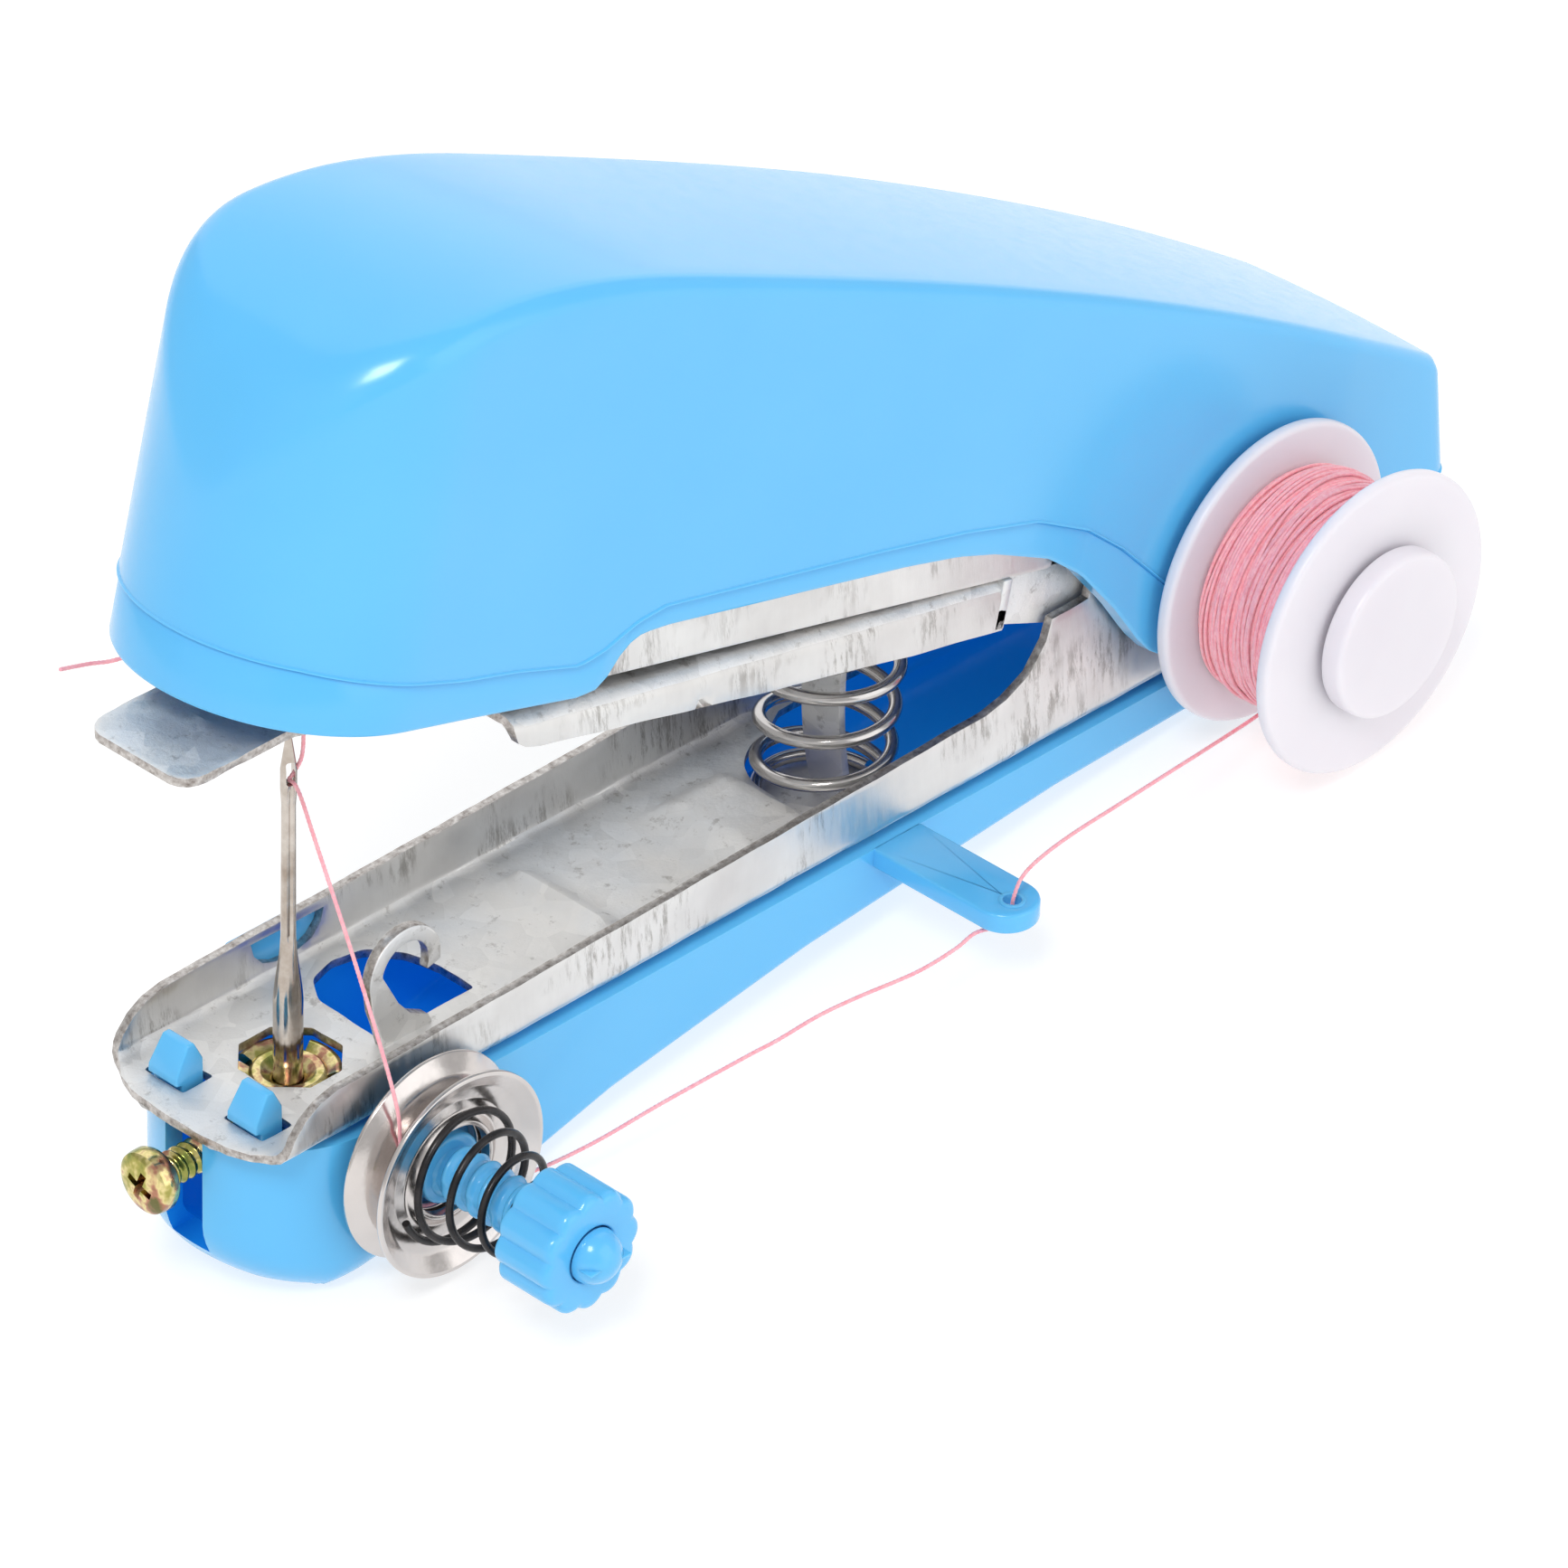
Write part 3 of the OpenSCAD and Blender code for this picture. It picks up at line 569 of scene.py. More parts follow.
def even_line(points, step):
    """The same line with a point at every step of its length."""
    p = np.array([tuple(q) for q in points])
    run = np.concatenate([[0], np.cumsum(np.linalg.norm(np.diff(p, axis=0), axis=1))])
    wanted = np.linspace(0, run[-1], max(2, int(run[-1] / step) + 1))
    return [Vector([np.interp(s, run, p[:, k]) for k in range(3)]) for s in wanted], run[-1]


def tube(points, radius, sides=12, shape=None):
    """A closed tube along points. shape(angle, share of the length, index) scales its radius."""
    verts, m, side = [], len(points), None
    for i, p in enumerate(points):
        ahead = (points[min(i + 1, m - 1)] - points[max(i - 1, 0)]).normalized()
        side = (side - ahead * side.dot(ahead) if side else ahead.orthogonal()).normalized()
        other = ahead.cross(side)
        for k in range(sides):
            a = 2 * math.pi * k / sides
            r = radius * (shape(a, i / (m - 1), i) if shape else 1)
            verts.append(p + side * (r * math.cos(a)) + other * (r * math.sin(a)))
    return new_mesh(verts, ring_faces(m, sides) + list(ring_ends(m, sides)), 1e-6)


# ---------------------------------------------------------------- thread

TWIST_PITCH = 0.62
THREAD_STEP = 0.09


def thread(points):
    """Two-strand sewing thread along a line, in millimetres, with the line and its length."""
    line, length = even_line(points, THREAD_STEP)
    turn = 2 * math.pi * THREAD_STEP / TWIST_PITCH
    shape = lambda a, _, i: 0.80 + 0.20 * abs(math.cos(a - turn * i))
    return tube(line, THREAD_D / 2, 10, shape), line, length


# The thread's three stretches: bobbin to guide arm, guide arm to the needle's eye, and the free end
SUPPLY = [(82.6, -14.65, -1.8), (79, -15.2, -1.65), (73.1, -16.1, -1.05), (69.6, -16.6, -0.7), (62.9, -17.6, 0),
          (57, -18.5, 0.65), (53.1, -19.1, 0.8), (50.8, -19.5, 0.5), (49.9, -19.6, -0.6), (49.7, -19.6, -1.6),
          (49.7, -19.6, -2.8)]
RUN = [(49.7, -19.6, -2.8), (48.9, -19.2, -3), (47.3, -18.5, -3.1), (45.7, -18.1, -3.9), (42.5, -17.5, -4.6),
       (37.8, -16.5, -4.9), (34.6, -15.9, -5.2), (31.3, -15.2, -6), (28.9, -14.8, -6.3), (22.2, -13.4, -7.6),
       (17.1, -12.2, -8.9), (12.5, -11.4, -9.3), (8, -11.375, -8.4), (4.6, -11.375, -7.4), (1.4, -11.375, -6.8),
       (0, -11.375, -4.4), (-0.6, -11.375, -1), (-1, -11.2, 3), (-0.8, -7.5, 11), (-0.4, -3, 19),
       (0, -0.9, 21.9), (0, 0, 22.3)]
TAIL = [(0, 0, 22.3), (0.35, -0.25, 23), (0.75, -0.5, 24.2), (0.9, -0.4, 26.5), (0.8, 0, 29.5), (0.6, 0.4, 32.4),
        (-0.8, 2.2, 34.4), (-3.2, 5.2, 34.5), (-4.3, 8, 32.4), (-4, 10.1, 29.4), (-4.9, 11.4, 28.4),
        (-6.6, 12, 28.6), (-9, 12.1, 29.2)]


def add_thread():
    for name, route in (("thread_supply", SUPPLY), ("thread_run", RUN)):
        mesh, _, _ = thread(smooth_line(route, 8))
        piece(name + "_strand", mesh, ARM, "base", THREAD, name)
    mesh, line, length = thread(smooth_line(TAIL, 8))
    tail = piece("thread_tail_strand", mesh, ARM, None, THREAD, "thread_tail")
    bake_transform(tail)


add_camera()
add_thread()

# ---------------------------------------------------------------- blue shells

COVER_FRONT = -98.6
COVER_REAR = 18.4
COVER_HALF = 11.9
WALL = 1.6
NOSE_U = COVER_FRONT + COVER_HALF
REAR_CORNER = 1.4
REAR_SLOPE = 0.4
CROWN_RISE = 0.4
FOREHEAD_FROM = -66.0
FOREHEAD_DROP = 20.8

# Half width and middle of the cover, along the head: it narrows towards the hinge
WIDTHS = [(-98, 11.9), (-60, 11.55), (-30, 11.5), (6, 10.65), (18, 9.5)]
MIDDLES = [(-98, 0.9), (-60, 0.55), (-30, 0.5), (6, 0), (18, -0.2)]

# The cover's rim and its parting line: heights at places along the head
RIM = [(-98.5, 3.3), (-87, 3.3), (-80.5, 3.1), (-70.9, 2.7), (-68.9, 3.0), (-68.0, 4.2), (-67.2, 5.6),
       (-65.6, 6.4), (-63, 6.6), (-39.4, 6.6), (-34, 6.4), (-30, 5.9), (-24, 4.5), (-20, 2.6), (-15.2, -0.9),
       (-11.6, -4), (-9.7, -5.3), (-8, -5.8), (0, -5.8), (10, -4.6), (22, -2.4)]
PARTING = [(-98.5, 7.8), (-95, 7.7), (-90, 7.1), (-83, 6.2), (-77.8, 5.9), (-71.6, 5.2), (-69.4, 5.9),
           (-66.5, 7.5), (-64, 8.2), (-42.5, 8.4), (-34, 8.3), (-26.4, 7.8), (-20.4, 6.1), (-16, 3.9), (-13, 2.0),
           (-10, 0.1), (-7, -1.5), (-2, -2.4), (8, -1.2), (22, 4.9)]


def along(table, x):
    """The value at x from (place, value) points, with straight lines between them."""
    return float(np.interp(x, [p[0] for p in table], [p[1] for p in table]))


def ridge(u):
    """Height of the cover along its middle: a long slope, and a full forehead that meets the front wall."""
    slope = 17.85 - 0.2872 * u - 0.001504 * u**2 - 5.3e-6 * u**3 + CROWN_RISE
    t = min(1, max(0, (FOREHEAD_FROM - u) / (FOREHEAD_FROM - COVER_FRONT)))
    return slope - FOREHEAD_DROP * (1 - (1 - t**2.4) ** 0.361)


def crease_radius(u):
    """The edge between the crown and the sides is softer at the front."""
    return float(np.interp(u, [-98, -90, -80, -60, 18], [2.4, 1.8, 1.4, 1.2, 1.0]))


CROWN_STEPS = 9
ARC_STEPS = 8
SEAM_DEPTH = 0.2
SEAM_HALF = 0.09
SEAM_FLASH = 0.13
WALL_ROWS = 12
INNER_ROWS = WALL_ROWS + 7  # the outer wall's rows and those of its parting line


def crown_height(u, out, inset):
    """The crown sags away from the ridge towards its sides, and rolls over at the rear edge."""
    top = ridge(u) - inset - CROWN_RISE * (out / COVER_HALF) ** 2
    roll = 1.3 - 0.6 * inset
    past = u - (COVER_REAR - inset - roll)
    if past > 0:
        top -= roll - math.sqrt(max(0, roll**2 - past**2))
    return top


def wall_rows(u, top, inset):
    """Heights of one wall column, from the top down to the rim, and how far each is set in."""
    rim, seam = along(RIM, u), along(PARTING, u)
    if inset:
        return [(top + (rim - top) * k / INNER_ROWS, 0) for k in range(1, INNER_ROWS + 1)]
    seam = max(seam, rim + 1.0)
    start = seam + 0.3
    above = [(top + (start - top) * k / (WALL_ROWS - 1), 0) for k in range(1, WALL_ROWS)]
    line = [(seam + SEAM_HALF * 2, 0), (seam + SEAM_HALF, -SEAM_FLASH), (seam, -SEAM_FLASH),
            (seam - SEAM_HALF, SEAM_DEPTH * 0.9), (seam - SEAM_HALF * 2, SEAM_DEPTH * 0.55)]
    return above + line + [(rim + 0.3, SEAM_DEPTH * 0.55), (rim + 0.12, SEAM_DEPTH * 0.7), (rim, 0.22)]


def cover_runs(inset):
    """Places along the cover's middle line, and the way each section faces, in turn round the head."""
    rear = COVER_REAR - inset
    corner = REAR_CORNER - inset * 0.5
    side = [(u, 0) for u in np.linspace(NOSE_U, rear - corner, 120)]
    side += [(rear - corner + corner * math.sin(a), corner * (1 - math.cos(a)))
             for a in np.radians([15, 30, 45, 60, 75, 90])]
    runs = [(u, less, 0, -1) for u, less in side[::-1]]
    runs += [(NOSE_U, 0, math.cos(a), math.sin(a)) for a in np.radians(np.linspace(267, 93, 60))]
    return runs + [(u, less, 0, 1) for u, less in side]


def cover_surface(inset):
    """Sections swept round the head, each from the middle out and down."""
    rings = []
    for u, less, du, dy in cover_runs(inset):
        half = along(WIDTHS, u) - inset - less
        r = crease_radius(u + du * half) - 0.5 * inset
        outs = [(half - r) * k / CROWN_STEPS for k in range(CROWN_STEPS + 1)]
        points = [(out, crown_height(u + du * out, out, inset)) for out in outs]
        for a in np.radians(np.linspace(0, 90, ARC_STEPS + 1)[1:]):
            out = half - r + r * math.sin(a)
            points.append((out, crown_height(u + du * out, out, inset) - r * (1 - math.cos(a))))
        points += [(half - less_in, w) for w, less_in in wall_rows(u + du * half, points[-1][1], inset)]
        ring = []
        for out, w in points:
            along_u = u + du * out
            lean = REAR_SLOPE * max(0, 12 - w) * min(1, max(0, (along_u - 4) / (COVER_REAR - 4)))
            ring.append((along_u + lean, along(MIDDLES, u) + dy * out, w))
        rings.append(ring)
    return rings


def sheet_of(rings, flip=False):
    n = len(rings[0])
    faces = []
    for i in range(len(rings) - 1):
        for k in range(n - 1):
            quad = (i * n + k, i * n + k + 1, (i + 1) * n + k + 1, (i + 1) * n + k)
            faces.append(quad[::-1] if flip else quad)
    return faces


def shell(outer, inner, rear_faces):
    """A hollow shell from two surfaces. rear_faces(first, last, count) closes the open rear of each."""
    count = len(outer[0])
    shift, rim, last = count * len(outer), count - 1, count * (len(outer) - 1)
    faces = sheet_of(outer) + [tuple(i + shift for i in face) for face in sheet_of(inner, True)]
    for a in range(rim, rim + last, count):
        faces.append((a, a + count, a + count + shift, a + shift))
    for first in (0, shift):
        faces += rear_faces(first, first + last, count)
    faces.append((rim, last + rim, shift + last + rim, shift + rim))
    return new_mesh([p for surface in (outer, inner) for ring in surface for p in ring], faces, 1e-3)


def strips(first, last, count):
    """The rear wall as strips from one side to the other."""
    return [(first + k, first + k + 1, last + k + 1, last + k) for k in range(count - 1)]


def one_face(first, last, count):
    """The rear wall as one face, up one side and down the other."""
    return [(*range(first + count - 1, first - 1, -1), *range(last, last + count))]


def add_cover():
    walls = shell(cover_surface(0), cover_surface(WALL), strips)
    ribs = []
    for side in (-1, 1):  # ribs that grip the frame
        for u in (-72, -48, -26):
            y0, y1 = sorted((side * 8.4, along(MIDDLES, u) + side * (along(WIDTHS, u) - 1.2)))
            ribs.append(upright(rect(u, u + 1.2, 7.4, 14), y0, y1))
    piece("cover", joined(walls, *ribs), HEAD, "head", BLUE, "top_cover", angle=40)


BASE_HALF = 8.8
BASE_REAR = 95.0
BASE_TOP = -0.95
BASE_WALL = 1.5

# Heights of the base's underside and of its floor inside, along the machine
BASE_KEEL = [(-9.6, -11), (-8.6, -11.9), (-6.6, -12.7), (-4, -13.4), (-1, -15), (5, -15), (9, -12.1), (22, -9),
             (41, -6.4), (66, -4.6), (82, -4.3), (86, -6), (95, -6)]
BASE_FLOOR = [(-8.3, -8.6), (-8, -9.2), (-6, -11.4), (4, -11.4), (9, -10.3), (22, -7.4), (41, -4.8), (66, -3),
              (93.4, -2.9)]
TABLE_HEIGHT = -13.3
TABLE_SLOPE = math.tan(math.radians(REST_LEAN))


def base_keel(x):
    """The underside, cut flat where the machine stands on the table."""
    return max(along(BASE_KEEL, x), TABLE_HEIGHT + TABLE_SLOPE * x)


NOSE_X = -0.8
FOOT_ROUND = 3.0


def base_skin(inset, floor, foot):
    """Sections down one side, round the nose and back, each from the centre out and up."""
    rear, half = BASE_REAR - inset, BASE_HALF - inset
    runs = [(x, 0, -1) for x in np.linspace(rear, NOSE_X, 110)]
    runs += [(NOSE_X, math.cos(a), math.sin(a)) for a in np.radians(np.linspace(267, 93, 60))]
    runs += [(x, 0, 1) for x in np.linspace(NOSE_X, rear, 110)]
    rings = []
    for x, dx, dy in runs:
        r = foot(x)
        section = [((half - r) * k / 6, 0) for k in range(6)]
        turn = np.radians(np.linspace(0, 90, 8))
        section += [(half - r + r * math.sin(a), r - r * math.cos(a)) for a in turn]
        ring = [(x + dx * out, dy * out, floor(x + dx * out) + up) for out, up in section]
        end = ring[-1][2]
        ring += [(x + dx * half, dy * half, end + (BASE_TOP - end) * k / 7) for k in range(1, 8)]
        rings.append(ring)
    return rings


TABS_Y = (-3.8, 3.8)


def snap_tab(y):
    """One of the two hooks that hold the channel's front, with its top narrower than its root."""
    outline = [(-7.4, -3), (-5.4, -3), (-5.4, 1.5), (-6.1, 2.9), (-6.7, 2.9), (-7.9, 0.9), (-7.9, 0.2),
               (-7.4, 0.1)]
    tab = upright(outline, y - 1.45, y + 1.45)
    for v in tab.vertices:
        v.co.y = y + (v.co.y - y) * (1 - 0.05 * max(0, v.co.z))
    return bevelled(tab, 0.16, 3)


def paint_inside_glow(walls):
    """Gives the hollow side of the base's shell the second material, with its painted shade and painted glow."""
    for p in walls.polygons:
        x, y, z = p.center
        across = math.hypot(min(0, x - NOSE_X), y)
        # The faces that get the painted shade and painted glow
        hollow = across < BASE_HALF - 0.9 and z > base_keel(x) + 1.0 and x < BASE_REAR - 1
        p.material_index = 1 if hollow else 0


def add_base():
    outer = base_skin(0, base_keel, lambda x: float(np.interp(x, [2, 12], [FOOT_ROUND, 0.8])))
    inner = base_skin(BASE_WALL, lambda x: max(along(BASE_FLOOR, x), base_keel(x) + 1.2), lambda x: 0.6)
    walls = cut(shell(outer, inner, one_face), upright(rect(-13, -6, -10.6, 2), -1.7, 1.9))
    socket = turned_solid(rounded(rect(3.35, 4.9, -11.7, -6.6), 0.25))
    seat = turned_solid(rounded(rect(0, 6.8, -5.2, -3.7), [0, 0.3, 0.3, 0]))
    clip = bevelled(upright(rect(3, 12, -2, 3.2), 8.6, 9.4), 0.2)
    paint_inside_glow(walls)
    parts = [walls, socket, moved(seat, at(SPRING_X, 0, 0)), clip, *(snap_tab(y) for y in TABS_Y)]
    piece("base", joined(*parts), ARM, "base", BLUE_SHELL_PAINTED_INSIDE, "base_shell", angle=40)
    add_guide_arm()
    add_tension_post()


GUIDE_X, GUIDE_Y, GUIDE_EYE_Y, GUIDE_EYE_R, GUIDE_R = 49.7, -19.0, -19.6, 0.62, 2.4


def add_guide_arm():
    """The thin arm with the thread's eye at its rounded end, and a raised ring round the eye."""
    end = arc((GUIDE_X, GUIDE_Y), GUIDE_R, 180, 360, 25)
    outline = [(GUIDE_X - GUIDE_R, -8.5), *end, (GUIDE_X + GUIDE_R, -8.5)]
    hole = arc((GUIDE_X, GUIDE_EYE_Y), GUIDE_EYE_R, 0, 345, 24)
    bar = bevelled(slab(outline, -2.5, BASE_TOP, [hole]), 0.22, 3)
    lip = rounded([(GUIDE_EYE_R, -1.3), (1.05, -1.3), (0.95, -0.85), (0.66, -0.85)], 0.1)
    lip = moved(turned_solid(lip, 40), at(GUIDE_X, GUIDE_EYE_Y, 0))
    piece("guide_arm", joined(bar, lip), ARM, "base", BLUE)


DISC_X, DISC_Z = 3.4, -4.4
POST_TIP, POST_R, POST_PITCH = 25.4, 1.78, 1.15


def add_tension_post():
    """The post moulded on the base: a shoulder, a plain root and a coarse rounded thread."""
    profile = [(0, 8.0), (3.9, 8.0), (3.9, 10.3), (2.6, 10.3), (2.6, 12.2), (0, 12.2)]
    root = turned_solid(rounded(profile, [0, 0, 0.3, 0.3, 0.3, 0]), 48)

    def moulded_thread(h, a, _):
        phase = math.cos(2 * math.pi * h / POST_PITCH - a)
        flat = min(1, max(0, abs(math.sin(a)) * 6 - 0.5))  # the thread stops short of the mould's parting
        return POST_R + 0.22 * max(-0.5, phase) * (0.35 + 0.65 * flat)

    stem = turned_skin(spaced(12.0, POST_TIP, 260), 48, moulded_thread)
    dome = [(2.0 * math.cos(t), POST_TIP + 1.95 * math.sin(t)) for t in np.radians(np.linspace(0, 90, 14))]
    dome = turned_solid([*dome, (0, POST_TIP)], 48)
    nib = bevelled(slab(rect(-1.9, 1.9, -0.1, 0.1), POST_TIP + 0.2, POST_TIP + 1.7), 0.05)
    place = ARM @ at(DISC_X, 0, DISC_Z) @ OUTWARDS
    piece("tension_post", joined(root, stem, dome, nib), place, "base", BLUE)


# ---------------------------------------------------------------- folded sheet metal

GAUGE = 0.66
FINE = 0.85


def densify(loop, step):
    made = []
    for a, b in zip(loop, loop[1:] + loop[:1]):
        a, b = Vector(a), Vector(b)
        count = max(1, int(math.ceil((b - a).length / step)))
        made += [tuple(a + (b - a) * k / count) for k in range(count)]
    return made


def blank(outline, holes, rows, step=FINE):
    """The cut sheet before folding: triangles on an even grid, with extra rows at the bends."""
    loops = [densify(loop, step) for loop in [outline, *holes]]
    xs, ys = [p[0] for p in outline], [p[1] for p in outline]
    points, edges = loop_edges(loops)
    border = np.array(points)
    columns = np.arange(min(xs) + step / 2, max(xs), step)
    for p in [(x, s) for s in rows for x in columns if min(ys) < s < max(ys)]:
        if within(p, loops) and np.min(np.abs(border - p).max(axis=1)) > 0.35 * step:
            points.append(p)
    flat, kept = triangles(points, edges, loops)
    return [(p.x, p.y) for p in flat], [tuple(t) for t in kept]


class Fold:
    """A channel's fold: the sheet's own coordinate s across it, and the web and flange it becomes."""

    def __init__(self, half, radius, down):
        self.half, self.radius, self.sign = half - GAUGE / 2, radius, -1 if down else 1
        self.start = self.half - radius
        self.bend = radius * math.pi / 2

    def s(self, height):
        """The blank's coordinate of a flange point at that height from the web's middle plane."""
        return self.start + self.bend + (height - self.radius)

    def place(self, s):
        side, a = (1 if s > 0 else -1), abs(s)
        if a <= self.start:
            return s, 0.0
        if a <= self.start + self.bend:
            t = (a - self.start) / self.radius
            rise = self.radius * (1 - math.cos(t))
            return side * (self.start + self.radius * math.sin(t)), self.sign * rise
        return side * self.half, self.sign * (self.radius + a - self.start - self.bend)

    def rows(self, reach, step=FINE):
        web = list(np.arange(0, self.start, step)) + [self.start]
        bend = [self.start + self.bend * k / 7 for k in range(1, 8)]
        flange = list(np.arange(self.start + self.bend + step, self.s(reach), step))
        positive = web + bend + flange
        return sorted(set(round(x, 4) for x in positive + [-x for x in positive]))


def folded(outline, holes, fold, reach, web_z, relief=None):
    """Folds a blank into a channel, gives it its gauge, and softens its edges.
    Material 0 is the web, 1 the sheared rim and 2 the drawn outer sides of the flanges."""
    flat, tris = blank(outline, holes, fold.rows(reach))
    verts = []
    for x, s in flat:
        y, z = fold.place(s)
        verts.append(Vector((x, y, web_z + z + (relief(x, y, s) if relief else 0))))
    middle = bmesh.new()
    kept = [middle.verts.new(v) for v in verts]
    for t in tris:
        middle.faces.new([kept[i] for i in t])
    bmesh.ops.recalc_face_normals(middle, faces=middle.faces)
    middle.normal_update()
    back = [v.co - v.normal * GAUGE / 2 for v in kept]
    made = bmesh.new()
    front_verts = [made.verts.new(v.co + v.normal * GAUGE / 2) for v in kept]
    back_verts = [made.verts.new(p) for p in back]
    order = {v: i for i, v in enumerate(kept)}
    for f in middle.faces:
        index = [order[v] for v in f.verts]
        drawn = 2 if abs(f.normal.y) > 0.85 else 0
        made.faces.new([front_verts[i] for i in index]).material_index = drawn
        made.faces.new([back_verts[i] for i in reversed(index)]).material_index = drawn
    for e in middle.edges:
        if e.is_boundary:
            a, b = (order[v] for v in e.verts)
            rim = made.faces.new((front_verts[a], front_verts[b], back_verts[b], back_verts[a]))
            rim.material_index = 1
    bmesh.ops.recalc_face_normals(made, faces=made.faces)
    middle.free()
    mesh = as_mesh(made)
    for _ in range(3):
        mesh.materials.append(None)
    return bevelled(mesh, 0.10, 2, 50)


def mirrored_outline(side):
    """A symmetric closed outline, from its positive side's points, front to back."""
    return side + [(x, -s) for x, s in reversed(side)]


def bump_of(d, width):
    """A smooth step from 1 inside to 0 outside, over width."""
    t = min(1, max(0, 0.5 - d / width))
    return t * t * (3 - 2 * t)


CHANNEL_HALF = 8.6


def add_lower_channel():
    """The channel on the base, with ears at the hinge and its web and far flange pierced."""
    fold = Fold(CHANNEL_HALF, 1.15, False)
    mid = -GAUGE / 2
    tops = [(-8.1, 0.3), (-7.6, 1.4), (-6.6, 2.5), (-5.3, 3.25), (-3.6, 3.65), (58.5, 4.9), (60.5, 5.3),
            (62.8, 6.4), (64.4, 8.4), (64.9, 10), (66.6, 10.0), (68.6, 10.1), (68.9, 11.4), (69.6, 12.2), (72, 12.6),
            (85.6, 12.6), (88.2, 10.6), (89.4, 7.3), (89.2, 4), (88.4, 0.5)]
    front = [(-10.2, 0.001), (-10.2, 1.9), (-9.9, 4.6), (-9.3, 6.2), (-8.5, fold.start + 0.2)]
    side = front + [(x, fold.s(z - mid)) for x, z in tops] + [(88.0, fold.start)]
    octagon = rounded(arc((0.2, 0), 3.75, 22.5, 337.5, 8), 0.3, 2)
    slots = [rounded(rect(-7.8, -5, y - 1.9, y + 1.9), 0.25, 2) for y in TABS_Y]
    lobe = [(5.9, -2.6), (14.8, -2.6), (14.9, 0.8), (14.3, 3.6), (12.6, 5.7), (10, 6.3), (7.6, 5.6),
            (6.2, 3.6)]
    lobe = rounded(lobe, [0.3] * 2 + [1.5] * 6)
    gap = arc((SPRING_X, 0), 5.45, 90, 270, 25)
    gap += [(54, -6.9), (79, -6.9), (80, -6), (80, 6), (79, 6.9), (54, 6.9)]
    window = [(4.1, 3.2), (4.4, 2.1), (5.2, 1.2), (6.4, 0.75), (7.5, 0.65), (8.6, 0.75), (9.8, 1.2),
              (10.6, 2.1), (10.9, 3.2)]
    window = [(x, fold.s(z - mid)) for x, z in window]
    pin = fold.s(HINGE_UP - mid)
    ears = [arc((ARM_LEN, s), 2.0, 0, 340, 24) for s in (pin, -pin)]

    def relief(x, y, s):
        """The cross rib, the raised seat before the spring, the turned-up front, and a slight waver."""
        rise = 0.95 * bump_of(abs(x - 26) - 0.8, 1.3) * bump_of(abs(y - 0.25) - 4.4, 1.2)
        rise += 0.9 * bump_of(max(abs(x - 42) - 3.2, abs(y + 0.6) - 4.2), 1.4)
        rise += 0.25 * bump_of(abs(x + 8.6) - 0.2, 1.2) * bump_of(abs(y) - 7, 3)
        waver = 0.04 * math.sin(x * 0.9 + 2 * y) * math.sin(x * 0.37)
        return (rise if abs(s) < fold.start else 0) + waver

    openings = [octagon, *slots, lobe, gap, window, *ears]
    mesh = folded(mirrored_outline(side), openings, fold, 13.5, mid, relief)
    piece("lower_channel_sheet", mesh, ARM, "base", FOLDED_SHEET, "lower_channel", angle=38)
    add_thread_hook()


HOOK_CENTRE = (7.5, 5.3)


def add_thread_hook():
    """The finger lanced out of the web and curled over."""
    outer = arc(HOOK_CENTRE, 3.3, -42, 190, 30)
    inner = arc(HOOK_CENTRE, 2.15, 190, -24, 22)
    root = [(5.6, -0.6), (10.3, -0.6), (9.7, 0.7), (8.0, 1.6), (6.9, 2.9)]
    outline = root + inner[2:] + outer[4:] + [(4.5, 3.0), (5.0, 1.6)]
    mesh = bevelled(upright(outline, -3.5, -2.6), 0.14, 3)
    for p in mesh.polygons:
        p.material_index = 0 if abs(p.normal.y) > 0.6 else 1
    piece("thread_hook", mesh, ARM, "base", CUT_SHEET)


PRESSER_TOP = 2.9


PIN_HOLE_R = 2.05


def pin_hole():
    return arc((0, 0), PIN_HOLE_R, 0, 340, 24)


